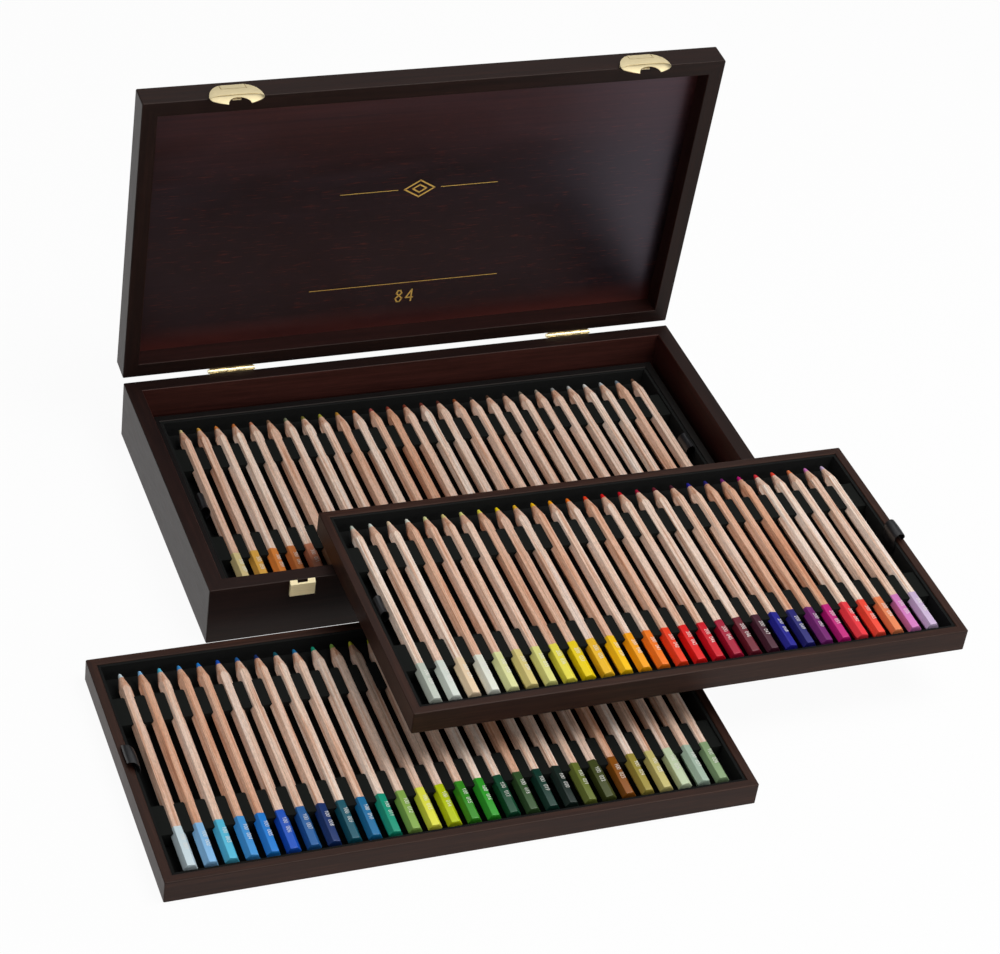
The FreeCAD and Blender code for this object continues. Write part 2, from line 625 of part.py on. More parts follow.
def keeper_body():
    """Keeper against the base's front face, from its top edge at the origin down: a side view padded
    across, with a slot from above behind its lip."""
    body = doc.addObject("PartDesign::Body", "keeper_body")
    side_view = sketch_on(body, "YZ_Plane", "keeper_side_view")
    high, deep = size["keeper_height"], size["keeper_depth"]
    draw_polygon(side_view, [(0, 0), (0, -high), (-deep, -high), (-deep, -deep)])
    side_view.addConstraint(Sketcher.Constraint("Coincident", 0, 1, -1, 1))
    tie_corner(side_view, 2, "X", "Sizes.keeper_depth")
    tie_corner(side_view, 2, "Y", "Sizes.keeper_height")
    tie_corner(side_view, 3, "Y", "Sizes.keeper_depth")
    pad = body.newObject("PartDesign::Pad", "keeper_pad")
    pad.Profile = side_view
    pad.SideType = "Symmetric"
    pad.setExpression("Length", "Sizes.keeper_width")
    doc.recompute()
    slot_view = sketch_on(body, "XY_Plane", "keeper_slot_view")
    half, slot_deep = size["keeper_slot_width"] / 2, size["keeper_slot_depth"]
    draw_polygon(slot_view, [(-half, 0), (-half, -slot_deep), (half, -slot_deep), (half, 0)])
    slot_view.addConstraint(Sketcher.Constraint("Symmetric", 0, 1, 3, 1, -1, 1))
    tie_corner(slot_view, 0, "X", "Sizes.keeper_slot_width / 2")
    tie_corner(slot_view, 1, "Y", "Sizes.keeper_slot_depth")
    pocket = body.newObject("PartDesign::Pocket", "keeper_slot")
    pocket.Profile = slot_view
    pocket.setExpression("Length", "Sizes.keeper_slot_height")
    doc.recompute()
    if pocket.Shape.Volume > pad.Shape.Volume - 1:
        raise RuntimeError("the keeper's slot cuts nothing")
    return body


# ---------------------------------------------------------------- catches and keepers in place
catch_y = size["catch_y"]
catch_z = size["catch_z"]
catch_parts = {
    "catch_pins": solid("catch_pins_closed", Part.makeCompound(
        [moved(catch_pin(), side * size["catch_spacing"] / 2, catch_y, catch_z) for name, side in SIDES])),
}
plate_shape = catch_plate()
flap_shape = catch_flap()
keeper_spikes = solid("keeper_spikes", Part.makeCompound(
    [spike(side * size["keeper_spike_offset"], 0, -size["keeper_spike_drop"]) for name, side in SIDES]))
keeper = add("Part::Fuse", "keeper", Base=keeper_body(), Tool=keeper_spikes)
for name, side in SIDES:
    x = side * size["catch_spacing"] / 2
    catch_parts["catch_%s_plate" % name] = solid("plate_" + name, moved(plate_shape, x, catch_y, catch_z))
    catch_parts["catch_%s_flap" % name] = solid("flap_" + name, moved(flap_shape, x, catch_y, catch_z))


# ---------------------------------------------------------------- the case in place
def bored(name, wall, tools):
    """Wall with the holes of the fixings in it."""
    return add("Part::Cut", name, Base=wall, Tool=tools)


base["back"] = bored("base_back_bored", base["back"], hinge_parts["hinge_screws_base"])
keeper_spots = {name: Vector(side * size["catch_spacing"] / 2, front_face, size["base_height"])
                for name, side in SIDES}
keeper_holes = solid("keeper_holes", Part.makeCompound(
    [moved(keeper_spikes.Shape, spot.x, spot.y, spot.z) for spot in keeper_spots.values()]))
base["front"] = bored("base_front_bored", base["front"], keeper_holes)
for piece, source in base.items():
    place("base_floor" if piece == "panel" else "base_%s_wall" % piece, source)
place("base_felt", felt)

# The lid is drawn at z = 0 with its panel on top; closed, its rim lies a gap above the base's rim.
swing = Placement(Vector(0, hinge_y, hinge_z), Rotation(Vector(1, 0, 0), -size["lid_open_angle"])) \
    * Placement(Vector(0, -hinge_y, -hinge_z), Rotation())
lid_closed = Placement(Vector(0, 0, size["lid_bottom"]), Rotation())
fixings = solid("lid_fixings", Part.makeCompound(
    [hinge_parts["hinge_screws_lid"].Shape, catch_parts["catch_left_plate"].Shape,
     catch_parts["catch_right_plate"].Shape]))
fixings.Placement = lid_closed.inverse()
lid["back"] = bored("lid_back_bored", lid["back"], fixings)
lid["front"] = bored("lid_front_bored", lid["front"], fixings)
for piece, source in lid.items():
    place("lid_panel" if piece == "panel" else "lid_%s_wall" % piece, source, swing * lid_closed)

for node, source in hinge_parts.items():
    on_lid = "lid" in node
    place(node, source, swing if on_lid else Placement())
for node, source in catch_parts.items():
    place(node, source, swing)
for name, spot in keeper_spots.items():
    place("keeper_" + name, keeper, Placement(spot, Rotation()))

# ---------------------------------------------------------------- checks and export
doc.recompute()
for thing in doc.Objects:
    if "Invalid" in thing.State or "Error" in thing.State:
        raise RuntimeError("%s did not compute" % thing.Name)
for piece in NODES:
    if piece.Shape.isNull() or not piece.Shape.isValid():
        raise RuntimeError("%s has no valid shape" % piece.Label)

os.makedirs("parts", exist_ok=True)
for piece in NODES:
    piece.Shape.exportStep(os.path.join("parts", piece.Label + ".step"))
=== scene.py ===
"""Finishes for a dark wooden presentation case with three lift-out trays of coloured pencils."""

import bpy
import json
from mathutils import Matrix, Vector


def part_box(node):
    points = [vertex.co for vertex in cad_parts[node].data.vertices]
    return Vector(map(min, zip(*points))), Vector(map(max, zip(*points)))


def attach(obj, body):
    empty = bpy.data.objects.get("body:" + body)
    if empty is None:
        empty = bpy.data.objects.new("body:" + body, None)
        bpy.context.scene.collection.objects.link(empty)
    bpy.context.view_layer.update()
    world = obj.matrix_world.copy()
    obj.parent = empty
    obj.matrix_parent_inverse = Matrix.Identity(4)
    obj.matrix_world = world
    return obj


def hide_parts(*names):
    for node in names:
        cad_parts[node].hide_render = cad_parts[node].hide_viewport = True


bl_info = {
    "name": "Pencil presentation case",
    "version": (1, 0, 0),
    "blender": (4, 5, 0),
    "location": "View3D > Sidebar > Pencil case",
    "description": "Woods, brass, pencils, foam bars, ribbons and a plain stage for a pencil case",
    "category": "Object",
}

import json
import math
import random

import bmesh
import bpy
from bpy.props import FloatProperty, FloatVectorProperty, IntProperty, PointerProperty
from mathutils import Matrix, Vector

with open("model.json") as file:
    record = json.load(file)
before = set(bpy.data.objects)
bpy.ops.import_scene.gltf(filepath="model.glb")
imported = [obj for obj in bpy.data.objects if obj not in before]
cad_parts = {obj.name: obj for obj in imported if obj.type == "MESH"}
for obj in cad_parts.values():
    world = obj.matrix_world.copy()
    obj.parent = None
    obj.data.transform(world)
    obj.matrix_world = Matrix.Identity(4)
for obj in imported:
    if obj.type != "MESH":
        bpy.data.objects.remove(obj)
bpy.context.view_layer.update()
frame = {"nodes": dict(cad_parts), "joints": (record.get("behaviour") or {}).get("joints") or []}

MM = 0.001
TRAYS = ("a", "b", "c")
PENCILS_PER_TRAY = 28

# ------------------------------------------------------------------ colours of the pencils
# Listed from the left-hand pencil to the right-hand one.
BLUES_AND_GREENS = (
    "#cfe0e6 #86bbe6 #54bcdc #3f93d6 #1f7dd2 #1553bf #215d9c #132f66 #0f5363 #176d9f #159678 #86ab4e "
    "#e6e64a #bccb12 #368c20 #2f9a28 #14472f #33502a #10352b #16241f #66702e #434a22 #8a4f14 #a0903f "
    "#c9bd74 #cbd9b4 #a7bba9 #8aa478"
)
YELLOWS_REDS_VIOLETS = (
    "#c3cabd #d9e0d6 #ecd2ae #e6e8da #dfe0a0 #dccb82 #dfdd86 #ece04c #f3d50a #f2bd24 #fbc50a #fba60c "
    "#f47a1a #ee3e18 #e41a18 #d01024 #a81536 #6b1e2c #431a2a #22218c #22206e #74256e #c01878 #ec3a44 "
    "#f24a36 #e88454 #d67cc0 #cdb6d6"
)
EARTHS_AND_GREYS = (
    "#dcc88e #e2aa48 #e0863a #cf7a3e #c67e5e #86664e #7f8468 #7a7430 #a8a63a #b8862e #b86a34 #a8504a "
    "#8c3a2c #7e3826 #74352a #5c2a22 #8e4a26 #2a211e #4a3224 #33261f #7a6c5e #9a8e80 #9c9c9a #c4c4c2 "
    "#ecece8 #c0c4c6 #7a8894 #6a4a38"
)
PIGMENTS = {"a": BLUES_AND_GREENS, "b": YELLOWS_REDS_VIOLETS, "c": EARTHS_AND_GREYS}


def linear(hex_colour):
    """An sRGB hex colour as linear RGBA."""
    digits = hex_colour.lstrip("#")
    channels = []
    for start in (0, 2, 4):
        value = int(digits[start:start + 2], 16) / 255
        channels.append(value / 12.92 if value <= 0.04045 else ((value + 0.055) / 1.055) ** 2.4)
    return (*channels, 1.0)


# ------------------------------------------------------------------ settings
def colour_setting(name, description, hex_colour):
    return FloatVectorProperty(name=name, description=description, subtype="COLOR", size=4,
                               min=0.0, max=1.0, default=linear(hex_colour))


class CaseColours(bpy.types.PropertyGroup):
    """Colours of the case, its linings and its fittings"""

    stain: colour_setting("Stain", "Outside of the case", "#140b0a")
    stain_light: colour_setting("Light grain", "Paler streaks in the stained wood", "#2a1814")
    inside_stain: colour_setting("Inside stain", "Redder inner faces of the case", "#3a1d19")
    rail_stain: colour_setting("Rail stain", "Redder stain of the tray rails", "#1d0f0c")
    rail_light: colour_setting("Rail grain", "Paler streaks in the tray rails", "#43291f")
    panel_stain: colour_setting("Lid panel", "Stain on the veneer inside the lid", "#080406")
    panel_figure: colour_setting("Lid panel figure", "Paler figure in that veneer", "#150b10")
    # This red colours the veneer's flecks, and also the painted reflection of the pencils along the hinges.
    panel_red_and_reflection: colour_setting("Lid panel red", "Flecks and thin stain in that veneer", "#5a2418")
    cedar: colour_setting("Cedar", "Bare pencil wood", "#f6e5d9")
    cedar_dark: colour_setting("Dark cedar", "Darker and redder pencil wood", "#d79e7b")
    brass: colour_setting("Brass", "Pale plated brass of hinges and catches", "#ead9ac")
    foam: colour_setting("Foam", "Notched bars that hold the pencils", "#0b0d0b")
    lining: colour_setting("Lining", "Flocked lining of the trays", "#0a0b0a")
    ribbon: colour_setting("Ribbon", "Satin pull ribbons", "#131315")
    ebonised: colour_setting("Ebonised", "Blackened rails of the tray that stays in the case", "#0e0d0d")
    print_white: colour_setting("Print", "Small numbers printed on the dipped ends", "#eceae4")
    gold: colour_setting("Gold leaf", "Ruled lines inside the lid", "#e4bd62")


class CaseSizes(bpy.types.PropertyGroup):
    """Small sizes that only the finish uses"""

    hex_round: FloatProperty(name="Pencil edge", description="Radius of the pencils' six edges",
                             default=0.55 * MM, unit="LENGTH")
    dip_round: FloatProperty(name="Dip edge", description="Radius of the dipped end's edges",
                             default=0.45 * MM, unit="LENGTH")
    bar_chamfer: FloatProperty(name="Bar chamfer", description="Corner cut of the foam blocks",
                               default=0.7 * MM, unit="LENGTH")
    rule_width: FloatProperty(name="Rule width", description="Width of the gold rule",
                              default=0.5 * MM, unit="LENGTH")
    seed: IntProperty(name="Seed", description="Seed of the pencils' wood tones", default=7)


# ------------------------------------------------------------------ shader helpers
def feed(tree, socket, value):
    """Links the socket to the value if that is a socket too, and otherwise sets it."""
    if isinstance(value, bpy.types.NodeSocket):
        tree.links.new(value, socket)
    else:
        socket.default_value = value


def add_node(tree, kind, inputs=None, **settings):
    """Adds one shader node and feeds its inputs."""
    made = tree.nodes.new(kind)
    for name, value in settings.items():
        setattr(made, name, value)
    for name, value in (inputs or {}).items():
        feed(tree, made.inputs[name], value)
    return made


def new_material(name, **surface):
    """A material with one Principled shader; keyword names are its sockets with _ for a space."""
    material = bpy.data.materials.new(name)
    material.use_nodes = True
    tree = material.node_tree
    tree.nodes.clear()
    shader = add_node(tree, "ShaderNodeBsdfPrincipled")
    for name, value in surface.items():
        shader.inputs[name.replace("_", " ")].default_value = value
    output = add_node(tree, "ShaderNodeOutputMaterial")
    tree.links.new(shader.outputs["BSDF"], output.inputs["Surface"])
    return material, tree, shader


def frame_place(tree):
    """Object coordinates: metres in the frame, at rest."""
    return add_node(tree, "ShaderNodeTexCoord").outputs["Object"]


def stretched(tree, vector, fine, along, long_axis):
    """Coordinates scaled so that a texture of scale 1 has grains this fine and this long."""
    scale = [1 / fine] * 3
    scale["XYZ".index(long_axis)] = 1 / along
    return add_node(tree, "ShaderNodeMapping", {"Vector": vector, "Scale": scale}).outputs["Vector"]


def noise(tree, vector, **sockets):
    """Noise from 0 to 1, of scale 1 unless another is given."""
    return add_node(tree, "ShaderNodeTexNoise", {"Vector": vector, "Scale": 1.0, **sockets}).outputs["Fac"]


def ranged(tree, value, low, high, start=0.0, end=1.0):
    """The value's range from start to end, laid out from low to high."""
    return add_node(tree, "ShaderNodeMapRange", {"Value": value, "From Min": start, "From Max": end,
                                                 "To Min": low, "To Max": high}).outputs["Result"]


def ramp(tree, value, *stops):
    """Colour from a ramp of (place, colour) stops."""
    node = add_node(tree, "ShaderNodeValToRGB", {"Fac": value})
    elements = node.color_ramp.elements
    while len(elements) > 1:
        elements.remove(elements[-1])
    for number, (place, colour) in enumerate(stops):
        element = elements[0] if number == 0 else elements.new(place)
        element.position = place
        element.color = colour
    return node.outputs["Color"]


def mixed(tree, factor, first, second, blend="MIX"):
    """Colour mix of two sockets or colours."""
    node = add_node(tree, "ShaderNodeMix", data_type="RGBA", blend_type=blend)
    for number, value in ((0, factor), (6, first), (7, second)):
        feed(tree, node.inputs[number], value)
    return node.outputs[2]


def calculated(tree, operation, first, second=0.0):
    """Result of one Math node."""
    node = add_node(tree, "ShaderNodeMath", operation=operation)
    for socket, value in zip(node.inputs, (first, second)):
        feed(tree, socket, value)
    return node.outputs[0]


def emboss(tree, shader, height, strength, distance):
    """Bump that stands in for relief too fine to model."""
    relief = add_node(tree, "ShaderNodeBump", {"Height": height, "Strength": strength,
                                               "Distance": distance})
    feed(tree, shader.inputs["Normal"], relief.outputs["Normal"])


def mid_colour(first, second, share):
    return tuple(a + (b - a) * share for a, b in zip(first, second))


def scaled_colour(colour, factor):
    return (*(min(1.0, channel * factor) for channel in colour[:3]), 1.0)


# ------------------------------------------------------------------ woods
HINGE = Vector(frame["joints"][0]["pos_m"])
LID_ANGLE = math.radians(frame["joints"][0]["range_deg"][1])
INNER_HALF_WIDTH, INNER_HALF_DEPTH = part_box("base_felt")[1].xy
PANEL_FACE = 59.6 * MM
SLACK = 0.25 * MM


def case_coordinates(tree, on_lid):
    """Coordinates in the closed case: the lid's are turned back about its hinges."""
    place = frame_place(tree)
    if not on_lid:
        return place
    shift = HINGE - Matrix.Rotation(LID_ANGLE, 3, "X") @ HINGE
    return add_node(tree, "ShaderNodeMapping", {"Vector": place, "Rotation": (LID_ANGLE, 0, 0),
                                                "Location": shift}).outputs["Vector"]


def inside_case(tree, place):
    """1 on the case's inner faces, 0 elsewhere."""
    split = add_node(tree, "ShaderNodeSeparateXYZ", {"Vector": place})
    across, deep = (
        calculated(tree, "LESS_THAN", calculated(tree, "ABSOLUTE", split.outputs[axis]), half + SLACK)
        for axis, half in (("X", INNER_HALF_WIDTH), ("Y", INNER_HALF_DEPTH)))
    return calculated(tree, "MULTIPLY", across, deep)


def stained_wood(name, long_axis, dark, light, on_lid=False, inside=None, shine=0.16, rough=0.42):
    """Beech, planed, stained mahogany and sprayed with satin lacquer: a dark brown with fine pale
    pores along the board and a soft warm sheen that lightens the faces turned to the light."""
    material, tree, shader = new_material(name, Specular_IOR_Level=shine,
                                          Specular_Tint=(1.0, 0.86, 0.78, 1.0))
    place = case_coordinates(tree, on_lid)
    pores = noise(tree, stretched(tree, place, 0.45 * MM, 14 * MM, long_axis), Detail=5.0, Roughness=0.65)
    streaks = noise(tree, stretched(tree, place, 3.5 * MM, 90 * MM, long_axis), Detail=3.0)
    grain = calculated(tree, "MULTIPLY", pores, streaks)
    colour = ramp(tree, grain, (0.12, dark), (0.3, mid_colour(dark, light, 0.35)), (0.5, light))
    if inside is not None:
        inner = ramp(tree, grain, (0.1, scaled_colour(inside, 0.5)), (0.5, scaled_colour(inside, 1.5)))
        colour = mixed(tree, inside_case(tree, place), colour, inner)
    feed(tree, shader.inputs["Base Color"], colour)
    feed(tree, shader.inputs["Roughness"], ranged(tree, pores, rough - 0.05, rough + 0.07, 0.3, 0.7))
    emboss(tree, shader, pores, 0.12, 0.05 * MM)
    return material


def veneer(name, dark, light, red):
    """Mahogany veneer, stained nearly black and lacquered: short dark pores and sparse red flecks
    along the board, a streaky redder band towards the free edge, and a red-brown band along the
    hinges that is painted reflection of the pencils in front of the lid."""
    material, tree, shader = new_material(name, Specular_IOR_Level=0.64,
                                          Specular_Tint=(0.96, 0.8, 1.0, 1.0))
    place = case_coordinates(tree, True)
    cloud = noise(tree, stretched(tree, place, 26 * MM, 110 * MM, "X"), Detail=4.0, Distortion=0.6)
    pores = noise(tree, stretched(tree, place, 0.5 * MM, 7 * MM, "X"), Detail=4.0, Roughness=0.7)
    lines = noise(tree, stretched(tree, place, 2.2 * MM, 150 * MM, "X"), Detail=3.0)
    flecks = noise(tree, stretched(tree, place, 0.8 * MM, 11 * MM, "X"), Detail=2.0)
    figure = ramp(tree, calculated(tree, "MULTIPLY", cloud, lines), (0.14, dark), (0.42, light))
    stain = mixed(tree, 1.0, figure, ranged(tree, pores, 0.45, 1.0, 0.36, 0.52), "MULTIPLY")
    fleck = ranged(tree, flecks, 0.0, 0.5, 0.62, 0.7)
    depth = add_node(tree, "ShaderNodeSeparateXYZ", {"Vector": place}).outputs["Y"]
    # Painted reflection: near the hinges the lacquer would mirror the pencils in the base, so a red-brown
    # band is painted there.
    painted_hinge_reflection = calculated(tree, "MULTIPLY", ranged(tree, depth, 0.0, 1.1, 84 * MM, 107 * MM), cloud)
    # Redder towards the free edge, streaked along the board.
    at_edge = calculated(tree, "MULTIPLY", ranged(tree, depth, 0.0, 0.65, -30 * MM, -106 * MM), lines)
    redder = calculated(tree, "MAXIMUM", fleck, calculated(tree, "MAXIMUM", painted_hinge_reflection, at_edge))
    feed(tree, shader.inputs["Base Color"], mixed(tree, redder, stain, red))
    feed(tree, shader.inputs["Roughness"], ranged(tree, cloud, 0.26, 0.42))
    emboss(tree, shader, pores, 0.15, 0.05 * MM)
    return material


def dress(node, material):
    """Gives a CAD node its finish."""
    piece = frame["nodes"][node]
    piece.data.materials.clear()
    piece.data.materials.append(material)


def dress_outside(node, material):
    """Gives the outward face of a lid node, seen in the closed case, its own finish."""
    piece = frame["nodes"][node]
    piece.data.materials.append(material)
    turn = Matrix.Rotation(LID_ANGLE, 3, "X")
    for polygon in piece.data.polygons:
        closed = HINGE + turn @ (polygon.center - HINGE)
        if closed.z > PANEL_FACE + 1 * MM:
            polygon.material_index = 1


# ------------------------------------------------------------------ cloth, foam and metal
def flocked_board(name, colour):
    """Card covered in short black flock: it takes almost all light and lightens at grazing angles."""
    material, tree, shader = new_material(name, Roughness=0.95, Specular_IOR_Level=0.15,
                                          Sheen_Weight=0.04, Sheen_Roughness=0.5)
    # Real flock is about 0.05 mm; it is drawn at 0.5 mm so that it shows.
    fibre = noise(tree, frame_place(tree), Scale=1 / (0.5 * MM), Detail=3.0)
    shade = ramp(tree, fibre, (0.3, scaled_colour(colour, 0.6)), (0.7, scaled_colour(colour, 1.6)))
    feed(tree, shader.inputs["Base Color"], shade)
    emboss(tree, shader, fibre, 0.3, 0.1 * MM)
    return material


def closed_cell_foam(name, colour):
    """Polyethylene foam, die cut: a dull charcoal with fine closed cells."""
    material, tree, shader = new_material(name, Roughness=0.85, Specular_IOR_Level=0.12)
    cells = add_node(tree, "ShaderNodeTexVoronoi", {"Vector": frame_place(tree),
                                                    "Scale": 1 / (0.6 * MM)}).outputs["Distance"]
    shade = ramp(tree, cells, (0.1, scaled_colour(colour, 0.8)), (0.8, scaled_colour(colour, 1.2)))
    feed(tree, shader.inputs["Base Color"], shade)
    emboss(tree, shader, cells, 0.25, 0.08 * MM)
    return material


def woven_satin(name, colour):
    """Satin ribbon, woven: close cross threads with a long soft highlight."""
    material, tree, shader = new_material(name, Roughness=0.38, Specular_IOR_Level=0.4,
                                          Sheen_Weight=0.06, Sheen_Roughness=0.35, Anisotropic=0.4)
    # Real threads are about 0.1 mm apart; they are drawn 0.6 mm apart so that they show.
    threads = add_node(tree, "ShaderNodeTexWave", {
        "Vector": frame_place(tree), "Scale": 1 / (2 * math.pi * 0.19 * MM), "Distortion": 0.4},
        bands_direction="Y").outputs["Fac"]
    shade = ramp(tree, threads, (0.0, scaled_colour(colour, 0.75)), (1.0, scaled_colour(colour, 1.3)))
    feed(tree, shader.inputs["Base Color"], shade)
    emboss(tree, shader, threads, 0.15, 0.05 * MM)
    return material


def plated_brass(name, colour, metallic, rough):
    """Stamped steel plated with pale brass, tumbled: soft satin with faint long scratches."""
    material, tree, shader = new_material(name, Metallic=metallic)
    scratches = noise(tree, stretched(tree, frame_place(tree), 0.25 * MM, 6 * MM, "X"), Detail=3.0)
    shade = ramp(tree, scratches, (0.3, scaled_colour(colour, 0.86)), (0.7, scaled_colour(colour, 1.05)))
    feed(tree, shader.inputs["Base Color"], shade)
    feed(tree, shader.inputs["Roughness"], ranged(tree, scratches, rough - 0.06, rough + 0.08))
    return material


# ------------------------------------------------------------------ meshes
def closed_mesh(mesh, name):
    """Ends a bmesh: its faces are turned outwards and it becomes mesh data."""
    bmesh.ops.recalc_face_normals(mesh, faces=mesh.faces)
    data = bpy.data.meshes.new(name)
    mesh.to_mesh(data)
    mesh.free()
    return data


def new_piece(name, mesh, material, body, slot_name, *nodes, smooth=math.radians(32)):
    """Puts a mesh on a body in place of CAD nodes."""
    mesh.update()
    if smooth:
        mesh.shade_smooth()
        mesh.set_sharp_from_angle(angle=smooth)
    piece = bpy.data.objects.new(name, mesh)
    bpy.context.scene.collection.objects.link(piece)
    mesh.materials.append(material)
    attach(piece, body)
    if nodes:
        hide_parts(*nodes)
    return piece


def rounded_hexagon(flats, edge_radius, arc_steps=4, side_steps=5):
    """Outline of a pencil as (angle, radius) pairs, one flat on top."""
    apothem = flats / 2
    centre = (apothem - edge_radius) * 2 / math.sqrt(3)
    points = []
    for corner in range(6):
        turn = math.radians(60 * corner)
        for step in range(arc_steps + 1):
            angle = math.radians(-30 + 60 * step / arc_steps)
            x = centre + edge_radius * math.cos(angle)
            y = edge_radius * math.sin(angle)
            points.append((turn + math.atan2(y, x), math.hypot(x, y)))
        first = points[-1]
        last_angle = turn + math.radians(60) - (first[0] - turn)
        for step in range(1, side_steps + 1):
            angle = first[0] + (last_angle - first[0]) * step / (side_steps + 1)
            points.append((angle, apothem / math.cos(angle - turn - math.radians(30))))
    return points


class Rows:
    """Rings of points joined into one mesh; each point has a pigment, a tone and an angle."""

    def __init__(self):
        self.points = []
        self.faces = []
        self.pigments = []
        self.tones = []
        self.around = []

    def ring(self, axis, outline, distances, radii, pigment, tone):
        start = len(self.points)
        for (angle, _), distance, radius in zip(outline, distances, radii):
            self.points.append((axis[0] + radius * math.cos(angle), distance,
                                axis[1] + radius * math.sin(angle)))
            self.pigments.extend(pigment)
            self.tones.append(tone)
            self.around.append(angle)
        return start

    def join(self, first, second, count):
        for number in range(count):
            after = (number + 1) % count
            self.faces.append((first + number, second + number, second + after, first + after))

    def close(self, start, count, towards_tip):
        ring = list(range(start, start + count))
        self.faces.append(ring[::-1] if towards_tip else ring)

    def stack(self, axis, outline, rings, pigment, tone):
        """A closed body through rings of (distance, radii), given from the butt to the tip."""
        count = len(outline)
        previous = None
        for distance, radii in rings:
            ring = self.ring(axis, outline, [distance] * count, radii, pigment, tone)
            if previous is None:
                self.close(ring, count, False)
            else:
                self.join(previous, ring, count)
            previous = ring
        self.close(previous, count, True)

    def mesh(self, name):
        mesh = bpy.data.meshes.new(name)
        mesh.from_pydata(self.points, [], self.faces)
        for title, kind, field, values in (("pigment", "FLOAT_COLOR", "color", self.pigments),
                                           ("tone", "FLOAT", "value", self.tones),
                                           ("around", "FLOAT", "value", self.around)):
            mesh.attributes.new(title, kind, "POINT").data.foreach_set(field, values)
        return mesh


# ------------------------------------------------------------------ pencils
POINT_LENGTH = 17.5 * MM
CORE_RADIUS = 1.9 * MM
TIP_RADIUS = 0.9 * MM
MOST_ROLL = math.radians(13)
HIDDEN_LENGTH = 4 * MM
HIDDEN_SHARE = 0.7
WHITE = (1.0, 1.0, 1.0, 1.0)
# The sharpened cone keeps this share of its pencil's tone, so it is darker and redder than the flats.
CONE_TONE_SHARE = 0.4
DIGIT_HEIGHT = 2.3 * MM
DIGIT_STROKE = 0.32 * MM
PRINT_LIFT = 0.03 * MM


def pencil_axes(tray):
    """Where the pencils of a tray lie: their x places, height, tip, butt and flats."""
    low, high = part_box("tray_%s_pencil_barrels" % tray)
    core_low, core_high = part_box("tray_%s_pencil_cores" % tray)
    flats = high.z - low.z
    corner = flats / math.sqrt(3)
    pitch = (high.x - low.x - 2 * corner) / (PENCILS_PER_TRAY - 1)
    places = [low.x + corner + number * pitch for number in range(PENCILS_PER_TRAY)]
    return places, (low.z + high.z) / 2, core_high.y, core_low.y, flats


def add_barrel(rows, axis, outline, low, tip, slope, tone, spin):
    """A cedar barrel: its end hidden in the dip, its scalloped shoulder and its sharpened cone."""
    count = len(outline)
    first = len(rows.around)
    full = [radius for _, radius in outline]
    hidden = rows.ring(axis, outline, [low] * count, [radius * HIDDEN_SHARE for radius in full], WHITE, tone)
    rows.close(hidden, count, False)
    skirt = rows.ring(axis, outline, [low] * count, full, WHITE, tone)
    rows.join(hidden, skirt, count)
    cut = [tip - (radius - TIP_RADIUS) / slope for radius in full]
    shoulder = rows.ring(axis, outline, cut, full, WHITE, tone)
    rows.join(skirt, shoulder, count)
    cone = rows.ring(axis, outline, cut, full, WHITE, tone * CONE_TONE_SHARE)
    lead = rows.ring(axis, outline, [tip - (CORE_RADIUS - TIP_RADIUS) / slope] * count,
                     [CORE_RADIUS] * count, WHITE, tone * CONE_TONE_SHARE)
    rows.join(cone, lead, count)
    rows.close(lead, count, True)
    rows.around[first:] = [(angle + spin) % (2 * math.pi) for angle in rows.around[first:]]


def point_rings(tip, slope, count):
    """Rings of a pastel point, blunted by use."""
    worn = TIP_RADIUS
    profile = (((CORE_RADIUS - TIP_RADIUS) / slope, CORE_RADIUS),
               (0.9 * worn, TIP_RADIUS + 0.9 * worn * slope), (0.45 * worn, 0.95 * worn),
               (0.12 * worn, 0.7 * worn), (0.0, 0.3 * worn))
    return [(tip - back, [radius] * count) for back, radius in profile]


def dip_rings(low, high, radii, rim, coat):
    """Rings of a dipped end: a rounded butt, and lacquer that thins out on the wood."""
    steps = [(0.0, -1.0)] + [(math.sin(math.radians(angle)), -math.cos(math.radians(angle)))
                             for angle in (30, 60, 90)]
    rounded = [(low + rim * (1 + back), [radius - rim * (1 - out) for radius in radii])
               for out, back in steps]
    thinned = [(high - back, [radius - coat + lift for radius in radii])
               for back, lift in ((0.25 * MM, coat), (0.05 * MM, coat * 0.6), (0.0, 0.02 * MM))]
    return rounded + thinned


def print_numbers(tray, places, rolls, top, height, cap_end):
    """The tray's hundred and the pencil's own number, on each dipped end's upper flat."""
    hundred = 1 + TRAYS.index(tray)
    first = 1 + PENCILS_PER_TRAY * TRAYS.index(tray)
    printed = Strokes(DIGIT_HEIGHT, DIGIT_STROKE)
    for number, (x, roll) in enumerate(zip(places, rolls)):
        face = (Matrix.Translation((x, 0, height)) @ Matrix.Rotation(-roll, 4, "Y")
                @ Matrix.Translation((0, 0, top + PRINT_LIFT)))
        for text, start in (("%d00" % hundred, cap_end - 7 * MM),
                            ("%03d" % (first + number), cap_end - 15 * MM)):
            along = Matrix(((0, 1, 0, 0), (-1, 0, 0, start), (0, 0, 1, 0), (0, 0, 0, 1)))
            printed.write(text, face @ along)
    return printed.mesh("printed_numbers_" + tray)


